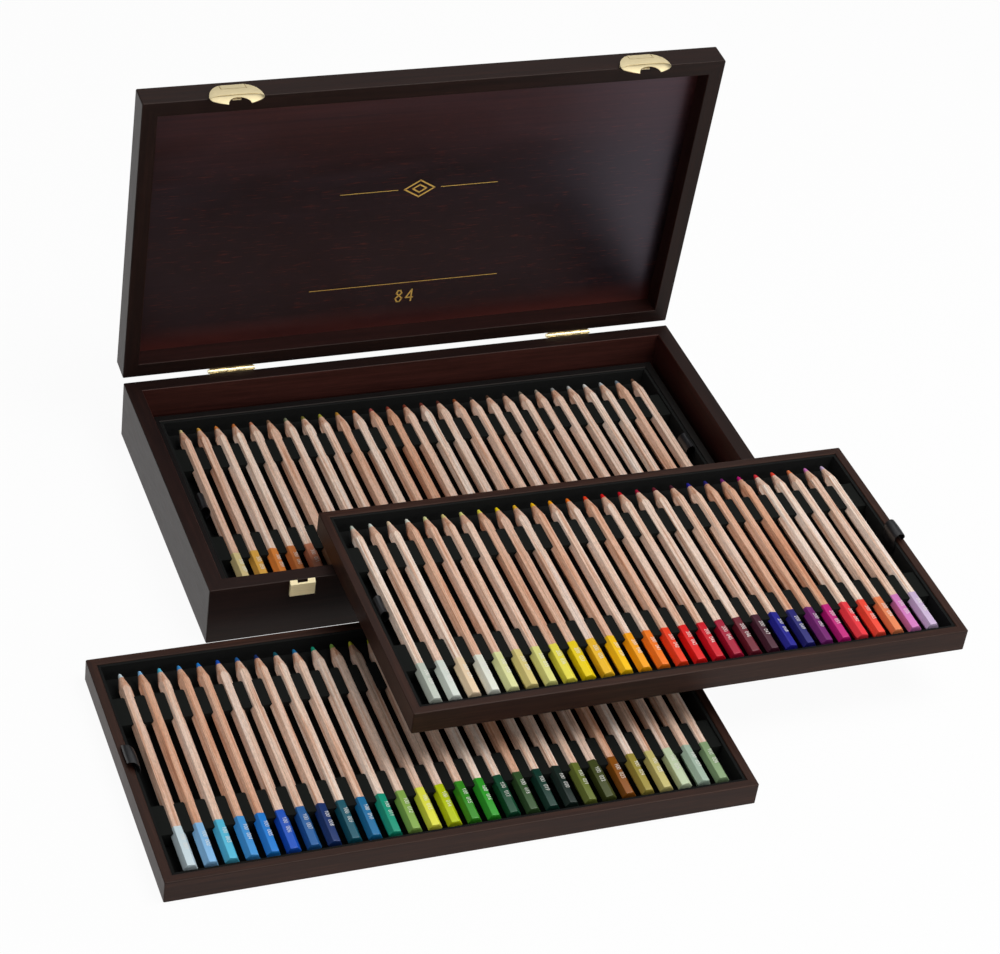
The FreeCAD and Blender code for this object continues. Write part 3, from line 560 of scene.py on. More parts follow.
def add_tray_pencils(tray, sizes, materials, dice):
    """One tray's barrels, pastel points, dipped ends and their numbers."""
    places, height, tip, butt, flats = pencil_axes(tray)
    cap_low, cap_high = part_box("tray_%s_pencil_caps" % tray)
    coat = butt - cap_low.y
    flat_outline = rounded_hexagon(flats, sizes.hex_round)
    flat_dipped = rounded_hexagon(flats + 2 * coat, sizes.dip_round)
    slope = (flats / math.sqrt(3) - TIP_RADIUS) / POINT_LENGTH
    barrels, points, dips = Rows(), Rows(), Rows()
    rolls = []
    for x, colour in zip(places, PIGMENTS[tray].split()):
        axis = (x, height)
        pigment = linear(colour)
        tone = dice.random()
        spin = dice.choice(range(6)) * math.radians(60)
        roll = dice.uniform(-MOST_ROLL, MOST_ROLL)
        rolls.append(roll)
        outline = [(angle + roll, radius) for angle, radius in flat_outline]
        dipped = [(angle + roll, radius) for angle, radius in flat_dipped]
        add_barrel(barrels, axis, outline, cap_high.y - HIDDEN_LENGTH, tip, slope, tone, spin)
        points.stack(axis, outline, point_rings(tip, slope, len(outline)), pigment, tone)
        dips.stack(axis, dipped, dip_rings(cap_low.y, cap_high.y, [radius for _, radius in dipped],
                                           sizes.dip_round, coat), pigment, tone)
    body = "tray_" + tray
    for rows, title, finish, slot_name, node in (
            (barrels, "cedar_barrels_", "cedar", "cedar", "barrels"),
            (points, "pastel_points_", "pastel", "pastel_core", "cores"),
            (dips, "dipped_ends_", "lacquer", "dipped_lacquer", "caps")):
        new_piece(title + tray, rows.mesh(title + tray), materials[finish], body, slot_name,
                  "tray_%s_pencil_%s" % (tray, node))
    new_piece("printed_numbers_" + tray,
              print_numbers(tray, places, rolls, flats / 2 + coat, height, cap_high.y),
              materials["print"], body, "dipped_lacquer", smooth=None)


DIGIT_PITCH = 1.6
# Each digit's strokes on a box one wide and two high.
DIGITS = {
    "0": (((0, 0.3), (0, 1.7), (0.3, 2), (0.7, 2), (1, 1.7), (1, 0.3), (0.7, 0), (0.3, 0), (0, 0.3)),),
    "1": (((0.1, 1.5), (0.6, 2), (0.6, 0)),),
    "2": (((0, 1.6), (0.3, 2), (0.7, 2), (1, 1.6), (1, 1.2), (0, 0), (1, 0)),),
    "3": (((0, 2), (1, 2), (0.5, 1.2), (1, 0.8), (1, 0.3), (0.7, 0), (0, 0.1)),),
    "4": (((0.8, 0), (0.8, 2), (0, 0.6), (1, 0.6)),),
    "5": (((1, 2), (0.1, 2), (0, 1.1), (0.7, 1.2), (1, 0.8), (1, 0.3), (0.7, 0), (0, 0.1)),),
    "6": (((0.8, 2), (0.2, 1.3), (0, 0.6), (0.3, 0), (0.7, 0), (1, 0.4), (0.7, 1), (0.1, 0.9)),),
    "7": (((0, 2), (1, 2), (0.35, 0)),),
    "8": (((0.5, 1.1), (0.1, 1.5), (0.3, 2), (0.7, 2), (0.9, 1.5), (0.5, 1.1), (0, 0.6), (0.3, 0), (0.7, 0),
           (1, 0.6), (0.5, 1.1)),),
    "9": (((0.2, 0), (0.8, 0.7), (1, 1.4), (0.7, 2), (0.3, 2), (0, 1.6), (0.3, 1), (0.9, 1.1)),),
}


class Strokes:
    """Thin printed strokes: flat bands with no thickness, a hair above the surface they lie on."""

    def __init__(self, height, width):
        self.unit = height / 2
        self.width = width
        self.points = []
        self.faces = []

    def band(self, place, start, end):
        along = (end - start).normalized()
        side = Vector((-along.y, along.x)) * self.width / 2
        along = along * self.width / 2
        first, last = start - along, end + along
        base = len(self.points)
        for point in (first - side, last - side, last + side, first + side):
            self.points.append(place @ Vector((point.x, point.y, 0)))
        self.faces.append((base, base + 1, base + 2, base + 3))

    def path(self, place, knots, unit):
        """Bands from each knot to the next."""
        ends = [Vector(knot) * unit for knot in knots]
        for start, end in zip(ends, ends[1:]):
            self.band(place, start, end)

    def write(self, text, place):
        for number, digit in enumerate(text):
            for line in DIGITS[digit]:
                self.path(place, [(x + DIGIT_PITCH * number, y) for x, y in line], self.unit)

    def mesh(self, name):
        mesh = bpy.data.meshes.new(name)
        mesh.from_pydata(self.points, [], self.faces)
        return mesh


def sealed_cedar(name, light, dark):
    """Incense cedar, planed and sealed: pink-brown, each pencil its own tone, fine pores and redder
    streaks along it, and the thin dark lines where its two halves are glued."""
    material, tree, shader = new_material(name, Roughness=0.5, Specular_IOR_Level=0.4)
    place = frame_place(tree)
    tone = add_node(tree, "ShaderNodeAttribute", attribute_name="tone").outputs["Fac"]
    around = add_node(tree, "ShaderNodeAttribute", attribute_name="around").outputs["Fac"]
    wood = ramp(tree, tone, (0.0, mid_colour(dark, light, 0.15)), (0.4, mid_colour(dark, light, 0.6)),
                (1.0, light))
    pores = noise(tree, stretched(tree, place, 0.35 * MM, 3.5 * MM, "Y"), Detail=4.0, Roughness=0.7)
    streaks = noise(tree, stretched(tree, place, 1.6 * MM, 60 * MM, "Y"), Detail=2.0)
    streak = ramp(tree, streaks, (0.32, (0.76, 0.54, 0.42, 1)), (0.47, (0.96, 0.88, 0.8, 1)),
                  (0.66, (1, 1, 1, 1)))
    colour = mixed(tree, 1.0, wood, ranged(tree, pores, 0.72, 1.08, 0.35, 0.6), "MULTIPLY")
    colour = mixed(tree, 1.0, colour, streak, "MULTIPLY")
    # The two glue lines are about 0.1 mm wide; they are drawn about 0.2 mm wide so that they show.
    half = calculated(tree, "MODULO", around, math.pi)
    off_seam = calculated(tree, "ABSOLUTE", calculated(tree, "SUBTRACT", half, 1.75))
    seam = calculated(tree, "LESS_THAN", off_seam, 0.028)
    colour = mixed(tree, calculated(tree, "MULTIPLY", seam, 0.6), colour, scaled_colour(dark, 0.3))
    feed(tree, shader.inputs["Base Color"], colour)
    emboss(tree, shader, pores, 0.2, 0.05 * MM)
    return material


def chalk_pastel(name):
    """Pressed chalk pastel: dead matt, with a powdery unevenness."""
    material, tree, shader = new_material(name, Roughness=0.95, Specular_IOR_Level=0.15)
    pigment = add_node(tree, "ShaderNodeAttribute", attribute_name="pigment").outputs["Color"]
    powder = noise(tree, frame_place(tree), Scale=1 / (0.4 * MM), Detail=3.0)
    feed(tree, shader.inputs["Base Color"],
         mixed(tree, 1.0, pigment, ranged(tree, powder, 0.8, 1.15), "MULTIPLY"))
    return material


def dipped_lacquer(name):
    """Nitrocellulose lacquer, dipped in several coats: even colour with a soft gloss."""
    material, tree, shader = new_material(name, Specular_IOR_Level=0.32, Coat_Weight=0.08,
                                          Coat_Roughness=0.15)
    pigment = add_node(tree, "ShaderNodeAttribute", attribute_name="pigment").outputs["Color"]
    feed(tree, shader.inputs["Base Color"], pigment)
    waves = noise(tree, frame_place(tree), Scale=1 / (3 * MM), Detail=2.0)
    feed(tree, shader.inputs["Roughness"], ranged(tree, waves, 0.28, 0.42))
    emboss(tree, shader, waves, 0.08, 0.1 * MM)
    return material


def pad_print(name, colour):
    """White pad-printing ink: opaque and nearly matt."""
    return new_material(name, Base_Color=colour, Roughness=0.6, Specular_IOR_Level=0.3)[0]


# ------------------------------------------------------------------ gold on the lid
def gold_leaf(name, colour):
    """Hot-stamped gold foil: a warm metal, smooth enough to glint."""
    return new_material(name, Base_Color=colour, Metallic=0.3, Roughness=0.4)[0]


FOIL_LIFT = 0.05 * MM
BOLD_STROKE = 1.1 * MM


def on_lid_panel(x, y):
    """The place in the frame of a point on the lid panel's inner face, given in the closed case."""
    closed = Vector((x, y, PANEL_FACE - FOIL_LIFT))
    return HINGE + Matrix.Rotation(-LID_ANGLE, 3, "X") @ (closed - HINGE)


def add_gold_marks(width, material):
    """A long rule with the count of pencils under it, and a plain lozenge between two short rules."""
    across = on_lid_panel(1, 0) - on_lid_panel(0, 0)
    down = on_lid_panel(0, 1) - on_lid_panel(0, 0)
    turn = Matrix((across, -down, across.cross(-down))).transposed().to_4x4()
    place = Matrix.Translation(on_lid_panel(0, 0)) @ turn
    marks = Strokes(10 * MM, width)
    for rule in (((-72, -66), (70, -66)), ((-58, 17), (-16, 17)), ((16, 17), (58, 17))):
        marks.path(place, rule, MM)
    marks.width = BOLD_STROKE
    for half_width, half_height in ((11, 7), (5, 3.2)):
        lozenge = ((-half_width, 17), (0, 17 + half_height), (half_width, 17), (0, 17 - half_height),
                   (-half_width, 17))
        marks.path(place, lozenge, MM)
    marks.write(str(PENCILS_PER_TRAY * len(TRAYS)), place @ Matrix.Translation((-6 * MM, -83 * MM, 0)))
    new_piece("gold_marks", marks.mesh("gold_marks"), material, "lid", "brass", smooth=None)


# ------------------------------------------------------------------ catches
# A catch's own axes: x along the lid, y back towards its face, z up from the flap's axis.
CATCH_RISE = 17 * MM
FLAP_LENGTH = 8.6 * MM
CATCH_CROWN = 0.9 * MM
END_FALL = 1.5 * MM
TOP_FALL = 2.6 * MM
FOOT_FALL = 1.5 * MM
CATCH_PARTING = 0.12 * MM
CATCH_SHEET = 0.4 * MM
LEAST_SHEET = 0.04 * MM
CATCH_PIN = 0.47 * MM
CATCH_PIN_HALF = 14 * MM
TONGUE_HALF = 8.7 * MM
TONGUE_LOW = 9.1 * MM
TONGUE_TOP = 15.1 * MM
SLIT = 0.5 * MM
FINGER_HALF = 7.8 * MM
FINGER_BRIDGE = 1.9 * MM
# The ends stop just short of the half width, where the outline stands upright.
WITHIN_BOX = 0.9985
# Share of the crown that the flap's upper edge is rolled over.
ROLLED_SHARE = 0.95
LID_FACE = 3.5 * MM
LID_RIM = 4.3 * MM
# Tab under the plate that drops into the keeper: x, y and z from and to.
GUIDE = (-3 * MM, 3 * MM, 2.45 * MM, 3.15 * MM, 0.15 * MM, 5 * MM)


def crown_depth(x, half):
    """Depth of a catch's face behind its axis, level with the axis: it falls away at both ends."""
    return END_FALL * abs(x / half) ** 6 - CATCH_CROWN


def plate_depth(x, z, half):
    return crown_depth(x, half) + TOP_FALL * (z / CATCH_RISE) ** 1.8


def flap_depth(x, z, half):
    """The flap's upper edge is rolled round the axis, so that it turns under the plate's edge."""
    crown = crown_depth(x, half)
    if z > 0:
        return -math.sqrt(max(0.0, crown * crown - z * z))
    return crown + FOOT_FALL * (z / FLAP_LENGTH) ** 2


def sheet_back(x, z, depth):
    """Depth of a sheet's back; the sheet is thinned where the pin passes behind it."""
    if abs(x) > CATCH_PIN_HALF or abs(z) > CATCH_PIN:
        return depth + CATCH_SHEET
    return depth + min(CATCH_SHEET, max(LEAST_SHEET, -CATCH_PIN - depth))


def plate_back(x, z, depth):
    """The plate is solid down to the lid's face; below the lid's rim it hangs free as a sheet."""
    return LID_FACE if z > LID_RIM else sheet_back(x, z, depth)


def even_steps(start, end, count):
    return [start + (end - start) * step / count for step in range(count + 1)]


def add_shell(mesh, place, columns, face_depth, back_depth, half, rows):
    """A domed sheet over columns of (x, low, high), closed all round."""
    grid = []
    for x, low, high in columns:
        line = []
        for z in even_steps(low, high, rows):
            depth = face_depth(x, z, half)
            line.append([mesh.verts.new(place @ Vector((x, back, z)))
                         for back in (depth, back_depth(x, z, depth))])
        grid.append(line)
    for first, second in zip(grid, grid[1:]):
        for row in range(rows):
            for side in (0, 1):
                mesh.faces.new((first[row][side], second[row][side], second[row + 1][side],
                                first[row + 1][side]))
        for row in (0, rows):
            mesh.faces.new((first[row][0], second[row][0], second[row][1], first[row][1]))
    for line in (grid[0], grid[-1]):
        for row in range(rows):
            mesh.faces.new((line[row][0], line[row + 1][0], line[row + 1][1], line[row][1]))


def oval(x, half, reach):
    return reach * math.sqrt(max(0.0, 1 - (x / half) ** 2))


def add_catch(side, satin, bright):
    """One swing catch: a domed plate with a slit tongue, and a flap with a finger cut."""
    plate_node, flap_node = "catch_%s_plate" % side, "catch_%s_flap" % side
    low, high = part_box(plate_node)
    half = (high.x - low.x) / 2
    axis = next(joint for joint in frame["joints"] if joint["name"] == "catch_%s_swing" % side)["pos_m"]
    place = Matrix.Translation(axis) @ Matrix.Rotation(-LID_ANGLE, 4, "X")
    bends = [half * WITHIN_BOX * math.sin(angle) for angle in even_steps(-math.pi / 2, math.pi / 2, 40)]

    def parting(x):
        """Height of the plate's lower edge, just clear of the rolled edge of the flap."""
        return max(0.0, -crown_depth(x, half)) + CATCH_PARTING

    mesh = bmesh.new()
    outer_edge = TONGUE_HALF + SLIT / 2
    inner_edge = TONGUE_HALF - SLIT / 2
    for sign in (-1, 1):
        beyond = sorted([x for x in bends if sign * x > outer_edge] + [sign * outer_edge])
        columns = [(x, parting(x), max(oval(x, half, CATCH_RISE), parting(x) + CATCH_PARTING))
                   for x in beyond]
        add_shell(mesh, place, columns, plate_depth, plate_back, half, 14)
    bridge = [(x, parting(x), TONGUE_LOW - SLIT / 2) for x in even_steps(-outer_edge, outer_edge, 12)]
    add_shell(mesh, place, bridge, plate_depth, plate_back, half, 10)
    tongue = [(x, TONGUE_LOW + SLIT / 2, TONGUE_TOP) for x in even_steps(-inner_edge, inner_edge, 12)]
    add_shell(mesh, place, tongue, plate_depth, plate_back, half, 4)
    add_slab(mesh, *GUIDE, place)
    title = "catch_plate_" + side
    new_piece(title, closed_mesh(mesh, title), satin, "lid", "brass", plate_node)

    mesh = bmesh.new()
    steps = [x for x in bends if abs(x) > FINGER_HALF] + [0.0]
    for share in (0.993, 0.98, 0.95, 0.9, 0.8, 0.65, 0.4):
        steps += [-FINGER_HALF * share, FINGER_HALF * share]
    columns = []
    for x in sorted(steps):
        foot = -oval(x, half, FLAP_LENGTH)
        if abs(x) < FINGER_HALF:
            foot = max(foot, oval(x, FINGER_HALF, FLAP_LENGTH - FINGER_BRIDGE) - FLAP_LENGTH)
        columns.append((x, foot, max(-CATCH_PARTING, -ROLLED_SHARE * crown_depth(x, half))))
    add_shell(mesh, place, columns, flap_depth, sheet_back, half, 16)
    title = "catch_flap_" + side
    new_piece(title, closed_mesh(mesh, title), bright, "catch_" + side, "brass", flap_node)


# ------------------------------------------------------------------ foam bars
FOAM_CLEAR = 0.15 * MM
FOAM_EDGE = 0.35 * MM
FOAM_UNDER = 0.05 * MM
CUT_SHARE = 0.8


def foam_side(place, is_wall, sign, flats, lift):
    """The x of a block's side at its five levels, beside a pencil or against a wall."""
    if is_wall:
        return [place] * 5
    corner = flats / math.sqrt(3)
    under, wide, shoulder = (place + sign * (reach + FOAM_CLEAR)
                             for reach in (corner / 2, corner, corner - lift / math.sqrt(3)))
    return [under, under, wide, shoulder, shoulder]


def block_between(sides, low, axis_z, flats, top, front, back, chamfer):
    """Rings of points, front to back, round the foam between two sides of (x, is a wall)."""
    levels = [low, axis_z - flats / 2, axis_z, top - FOAM_EDGE, top]
    rings = []
    for y, cut in ((front, chamfer), (front + chamfer, 0), (back - chamfer, 0), (back, chamfer)):
        ring = []
        for (place, is_wall), sign in zip(sides, (1, -1)):
            line = []
            for level, x in enumerate(foam_side(place, is_wall, sign, flats, top - axis_z)):
                inset = cut * (0 if is_wall or level < 2 else CUT_SHARE)
                if level == 4:
                    inset += FOAM_EDGE
                line.append((x + sign * inset, y, levels[level]))
            ring += line[::sign]
        rings.append(ring)
    return rings


def add_foam_bars(tray, sizes, material):
    """Both notched bars of one tray."""
    places, height, _, _, flats = pencil_axes(tray)
    node = "tray_%s_holding_bars" % tray
    low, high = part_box(node)
    sides = [(low.x, True)] + [(x, False) for x in places] + [(high.x, True)]
    mesh = bmesh.new()
    for front, back in sorted(solid_spans(node)):
        for pair in zip(sides, sides[1:]):
            rings = [[mesh.verts.new(point) for point in ring]
                     for ring in block_between(pair, low.z, height, flats, high.z, front, back,
                                               sizes.bar_chamfer)]
            count = len(rings[0])
            for first, second in zip(rings, rings[1:]):
                for number in range(count):
                    after = (number + 1) % count
                    mesh.faces.new((first[number], first[after], second[after], second[number]))
            mesh.faces.new(rings[0][::-1])
            mesh.faces.new(rings[-1])
        for x in places:
            add_slab(mesh, x - flats / 4, x + flats / 4, front, back, low.z,
                     height - flats / 2 - FOAM_UNDER)
    title = "foam_bars_" + tray
    new_piece(title, closed_mesh(mesh, title), material, "tray_" + tray, "black_bars", node, smooth=None)


def add_slab(mesh, x0, x1, y0, y1, z0, z1, place=Matrix()):
    """A square-edged block."""
    corners = [mesh.verts.new(place @ Vector((x, y, z)))
               for z in (z0, z1) for y in (y0, y1) for x in (x0, x1)]
    for ids in ((0, 2, 3, 1), (4, 5, 7, 6), (0, 1, 5, 4), (1, 3, 7, 5), (3, 2, 6, 7), (2, 0, 4, 6)):
        mesh.faces.new([corners[number] for number in ids])


def solid_spans(node):
    """The (lowest, highest) y of each separate solid in a node."""
    mesh = frame["nodes"][node].data
    ys = sorted({round(vertex.co.y, 5) for vertex in mesh.vertices})
    spans = []
    start = ys[0]
    for previous, current in zip(ys, ys[1:]):
        if current - previous > 30 * MM:
            spans.append((start, previous))
            start = current
    spans.append((start, ys[-1]))
    return spans


# ------------------------------------------------------------------ ribbons
RIBBON_SHEET = 0.4 * MM
RIBBON_REACH = 5.5 * MM
RIBBON_SAG = 0.35 * MM
# How each ribbon lies: flat over its rail, over it in a full bow, or curled up inside the tray, and
# how far it leans along the rail.
RIBBON_WAYS = {
    ("a", "left"): ("over", 11 * MM), ("a", "right"): ("over", 2 * MM),
    ("b", "left"): ("inside", 1 * MM), ("b", "right"): ("bow", 3 * MM),
    ("c", "left"): ("inside", -2 * MM), ("c", "right"): ("inside", 2 * MM),
}


def ribbon_knots(way, wall, rim, foot):
    """Points (outward, up) of a ribbon from its glued foot on the lining's face at this wall."""
    if way == "over":
        outline = ((-0.3, foot), (-0.4, foot + 3), (-1.2, rim + 0.6), (-0.9, rim + 3.6), (1.6, rim + 5.3),
                   (4.6, rim + 4.2), (5.6, rim + 1.8), (4.2, rim + 0.4))
    elif way == "bow":
        outline = ((-0.3, foot), (-0.4, foot + 3), (-1.6, rim + 1.2), (-1.4, rim + 5.2), (1.6, rim + 7.6),
                   (5.2, rim + 6.6), (7.0, rim + 3.4), (5.6, rim + 0.5))
    else:
        outline = ((-0.3, foot), (-0.4, foot + 4), (-0.9, rim + 0.4), (-2.6, rim + 2.2), (-5.0, rim + 1.4),
                   (-6.3, rim - 1.8), (-5.6, rim - 5.2), (-4.0, rim - 7.0))
    return [Vector((wall + out * MM, up * MM)) for out, up in outline]


def add_ribbons(tray, material):
    """The two pull ribbons of a tray."""
    low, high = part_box("tray_%s_ribbons" % tray)
    middle = (low.x + high.x) / 2
    rail_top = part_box("tray_%s_front_rail" % tray)[1].z
    wall = high.x - middle - RIBBON_REACH
    for name, sign in (("left", -1), ("right", 1)):
        way, lean = RIBBON_WAYS[tray, name]
        path = smooth_path(ribbon_knots(way, wall, rail_top / MM, low.z / MM), 6)
        title = "pull_ribbon_%s_%s" % (tray, name)
        data, length = ribbon_mesh(title, path, low.y, high.y, middle, sign, RIBBON_SHEET, lean)
        piece = new_piece(title, data, material, "tray_" + tray, "satin_ribbon", "tray_%s_ribbons" % tray,
                          smooth=math.radians(60))



def smooth_path(knots, steps):
    """Catmull-Rom curve through the knots."""
    padded = [knots[0] * 2 - knots[1]] + knots + [knots[-1] * 2 - knots[-2]]
    path = []
    for before, start, end, after in zip(padded, padded[1:], padded[2:], padded[3:]):
        for step in range(steps):
            t = step / steps
            path.append(0.5 * ((2 * start) + (end - before) * t
                               + (2 * before - 5 * start + 4 * end - after) * t ** 2
                               + (3 * start - before - 3 * end + after) * t ** 3))
    path.append(knots[-1])
    return path


def ribbon_mesh(name, path, front, back, middle, sign, thick, lean):
    """A thin closed band along the path, and its length; its long edges sag a little and its bow
    leans sideways."""
    mesh = bmesh.new()
    across = 8
    count = len(path)
    rows = []
    for offset in (-0.5, 0.5):
        for number, point in enumerate(path):
            ahead = path[min(number + 1, count - 1)] - path[max(number - 1, 0)]
            normal = Vector((-ahead.y, ahead.x)).normalized()
            row = []
            for step in range(across + 1):
                share = step / across
                bow = RIBBON_SAG * math.sin(math.pi * number / (count - 1)) * (2 * share - 1) ** 2
                place = point + normal * (offset * thick - bow)
                aside = lean * (number / (count - 1)) ** 1.5
                row.append(mesh.verts.new((middle + sign * place.x, front + (back - front) * share + aside,
                                           place.y)))
            rows.append(row)
    sheets = (rows[:count], rows[count:])
    for sheet_rows in sheets:
        for first, second in zip(sheet_rows, sheet_rows[1:]):
            for step in range(across):
                mesh.faces.new((first[step], first[step + 1], second[step + 1], second[step]))
    under, over = sheets
    for number in range(count - 1):
        for step in (0, across):
            mesh.faces.new((under[number][step], under[number + 1][step], over[number + 1][step],
                            over[number][step]))
    for number in (0, count - 1):
        for step in range(across):
            mesh.faces.new((under[number][step], under[number][step + 1], over[number][step + 1],
                            over[number][step]))
    return closed_mesh(mesh, name), sum((b - a).length for a, b in zip(path, path[1:]))


# ------------------------------------------------------------------ stage
FLOOR_REACH = 30.0
FLOOR_DROP = 0.2 * MM
FLOOR_GLOW = 0.95


def add_floor():
    """White paper that seems as bright as the background and still takes a shadow."""
    mesh = bpy.data.meshes.new("studio_floor")
    corners = [(x * FLOOR_REACH, y * FLOOR_REACH, 0) for x, y in ((-1, -1), (1, -1), (1, 1), (-1, 1))]
    mesh.from_pydata(corners, [], [(0, 1, 2, 3)])
    floor = bpy.data.objects.new("studio_floor", mesh)
    floor.location.z = -FLOOR_DROP
    bpy.context.scene.collection.objects.link(floor)
    material = bpy.data.materials.new("white studio paper")
    material.use_nodes = True
    tree = material.node_tree
    tree.nodes.clear()
    paper = add_node(tree, "ShaderNodeBsdfDiffuse", {"Color": (0.85, 0.85, 0.85, 1)})
    glow = add_node(tree, "ShaderNodeEmission", {"Color": (1, 1, 1, 1), "Strength": 1.0})
    rays = add_node(tree, "ShaderNodeLightPath")
    direct = calculated(tree, "MAXIMUM", rays.outputs["Is Camera Ray"], rays.outputs["Is Glossy Ray"])
    seen = calculated(tree, "MULTIPLY", direct, FLOOR_GLOW)
    blend = add_node(tree, "ShaderNodeMixShader", {"Fac": seen})
    tree.links.new(paper.outputs["BSDF"], blend.inputs[1])
    tree.links.new(glow.outputs["Emission"], blend.inputs[2])
    output = add_node(tree, "ShaderNodeOutputMaterial")
    tree.links.new(blend.outputs["Shader"], output.inputs["Surface"])
    mesh.materials.append(material)


def add_softbox(name, place, target, width, height, power):
    light = bpy.data.lights.new(name, "AREA")
    light.shape = "RECTANGLE"
    light.size = width
    light.size_y = height
    light.energy = power
    lamp = bpy.data.objects.new(name, light)
    lamp.location = place
    lamp.rotation_euler = (Vector(target) - Vector(place)).to_track_quat("-Z", "Y").to_euler()
    bpy.context.scene.collection.objects.link(lamp)


def add_world():
    """White to the camera; to everything else a pale horizon under a dim ceiling. Polished faces
    mirror a white screen that hangs over the case."""
    world = bpy.data.worlds.new("pale studio")
    world.use_nodes = True
    tree = world.node_tree
    tree.nodes.clear()
    rays = add_node(tree, "ShaderNodeLightPath")
    seen = calculated(tree, "MAXIMUM", rays.outputs["Is Camera Ray"], rays.outputs["Is Transmission Ray"])
    way = add_node(tree, "ShaderNodeTexCoord").outputs["Generated"]
    height = add_node(tree, "ShaderNodeSeparateXYZ", {"Vector": way}).outputs["Z"]
    glow = ranged(tree, height, 0.3, 0.05, 0.55, 0.72)
    screen = ranged(tree, height, 0.12, 1.4, 0.6, 0.64)
    lit = add_node(tree, "ShaderNodeMix", {"Factor": rays.outputs["Is Glossy Ray"], "A": glow,
                                           "B": screen})
    strength = calculated(tree, "MAXIMUM", seen, lit.outputs["Result"])
    background = add_node(tree, "ShaderNodeBackground", {"Color": (1, 1, 1, 1), "Strength": strength})
    output = add_node(tree, "ShaderNodeOutputWorld")
    tree.links.new(background.outputs["Background"], output.inputs["Surface"])
    bpy.context.scene.world = world


def add_camera():
    camera = bpy.data.cameras.new("studio camera")
    camera.sensor_width = 36
    camera.lens = 101.915
    camera.shift_x = 0.04
    camera.shift_y = 0.043
    camera.clip_end = 20
    viewer = bpy.data.objects.new("studio_camera", camera)
    right = Vector((0.938966, -0.32536, 0.11173))
    down = Vector((-0.120234, -0.614687, -0.779554))
    ahead = Vector((0.322315, 0.718541, -0.616289))
    turn = Matrix((right, -down, -ahead)).transposed().to_4x4()
    viewer.matrix_world = Matrix.Translation((-0.638, -1.4476, 1.2201)) @ turn
    bpy.context.scene.collection.objects.link(viewer)
    bpy.context.scene.camera = viewer


# ------------------------------------------------------------------ operators
class CASE_OT_woods(bpy.types.Operator):
    """Stain and lacquer the case, the lid and the tray rails"""

    bl_idname = "pencil_case.finish_woods"
    bl_label = "Finish woods"

    def execute(self, context):
        colours = context.scene.case_colours
        stain, light, inside = colours.stain[:], colours.stain_light[:], colours.inside_stain[:]
        for part, on_lid in (("base", False), ("lid", True)):
            for sides, axis in ((("front", "back"), "X"), (("left", "right"), "Y")):
                material = stained_wood("stained beech, %s, grain along %s" % (part, axis), axis, stain,
                                        light, on_lid, scaled_colour(inside, 0.4) if on_lid else inside)
                for side in sides:
                    dress("%s_%s_wall" % (part, side), material)
        dress("lid_panel", veneer("stained mahogany veneer", colours.panel_stain[:],
                                  colours.panel_figure[:], colours.panel_red_and_reflection[:]))
        dress_outside("lid_panel", stained_wood("stained beech, lid top", "X", stain, light, on_lid=True))
        dress("base_floor", stained_wood("stained beech board", "X", stain, light))
        rails = {axis: stained_wood("stained beech rail, grain along " + axis, axis, colours.rail_stain[:],
                                    colours.rail_light[:], shine=0.18) for axis in "XY"}
        black = colours.ebonised[:]
        dark_rail = stained_wood("ebonised rail", "X", black, scaled_colour(black, 1.6))
        for tray in TRAYS:
            for side, axis in (("front", "X"), ("back", "X"), ("left", "Y"), ("right", "Y")):
                dress("tray_%s_%s_rail" % (tray, side), dark_rail if tray == "c" else rails[axis])
            dress("tray_%s_panel" % tray, rails["X"])
        return {"FINISHED"}


class CASE_OT_linings(bpy.types.Operator):
    """Line the trays and the base with black flock"""

    bl_idname = "pencil_case.finish_linings"
    bl_label = "Finish linings"

    def execute(self, context):
        flock = flocked_board("black flocked card", context.scene.case_colours.lining[:])
        dress("base_felt", flock)
        for tray in TRAYS:
            dress("tray_%s_liner" % tray, flock)
        return {"FINISHED"}


class CASE_OT_fittings(bpy.types.Operator):
    """Plate the hinges, catches and keepers"""

    bl_idname = "pencil_case.finish_fittings"
    bl_label = "Finish fittings"

    def execute(self, context):
        colour = context.scene.case_colours.brass[:]
        satin = plated_brass("pale plated brass, satin", colour, 0.3, 0.45)
        # The keepers take a lighter, nearly non-metallic copy of the brass: painted reflection standing in
        # for the bright floor their fronts would mirror.
        pale = plated_brass("pale plated brass, brushed", scaled_colour(colour, 1.2), 0.1, 0.5)
        bright = plated_brass("pale plated brass, polished", scaled_colour(colour, 0.9), 0.9, 0.3)
        for node in frame["nodes"]:
            if node.startswith("keeper_"):
                dress(node, pale)
            elif node.startswith(("hinge_", "catch_")):
                dress(node, bright)
        for side in ("left", "right"):
            add_catch(side, satin, bright)
        return {"FINISHED"}


class CASE_OT_pencils(bpy.types.Operator):
    """Add the sharpened pencils with their pastel points and dipped ends"""

    bl_idname = "pencil_case.add_pencils"
    bl_label = "Add pencils"

    def execute(self, context):
        colours = context.scene.case_colours
        sizes = context.scene.case_sizes
        materials = {
            "cedar": sealed_cedar("sealed incense cedar", colours.cedar[:], colours.cedar_dark[:]),
            "pastel": chalk_pastel("pressed chalk pastel"),
            "lacquer": dipped_lacquer("dipped lacquer"),
            "print": pad_print("white pad print", colours.print_white[:]),
        }
        dice = random.Random(sizes.seed)
        for tray in TRAYS:
            add_tray_pencils(tray, sizes, materials, dice)
        return {"FINISHED"}


class CASE_OT_bars(bpy.types.Operator):
    """Add the notched foam bars that hold the pencils"""

    bl_idname = "pencil_case.add_foam_bars"
    bl_label = "Add foam bars"

    def execute(self, context):
        foam = closed_cell_foam("black polyethylene foam", context.scene.case_colours.foam[:])
        for tray in TRAYS:
            add_foam_bars(tray, context.scene.case_sizes, foam)
        return {"FINISHED"}


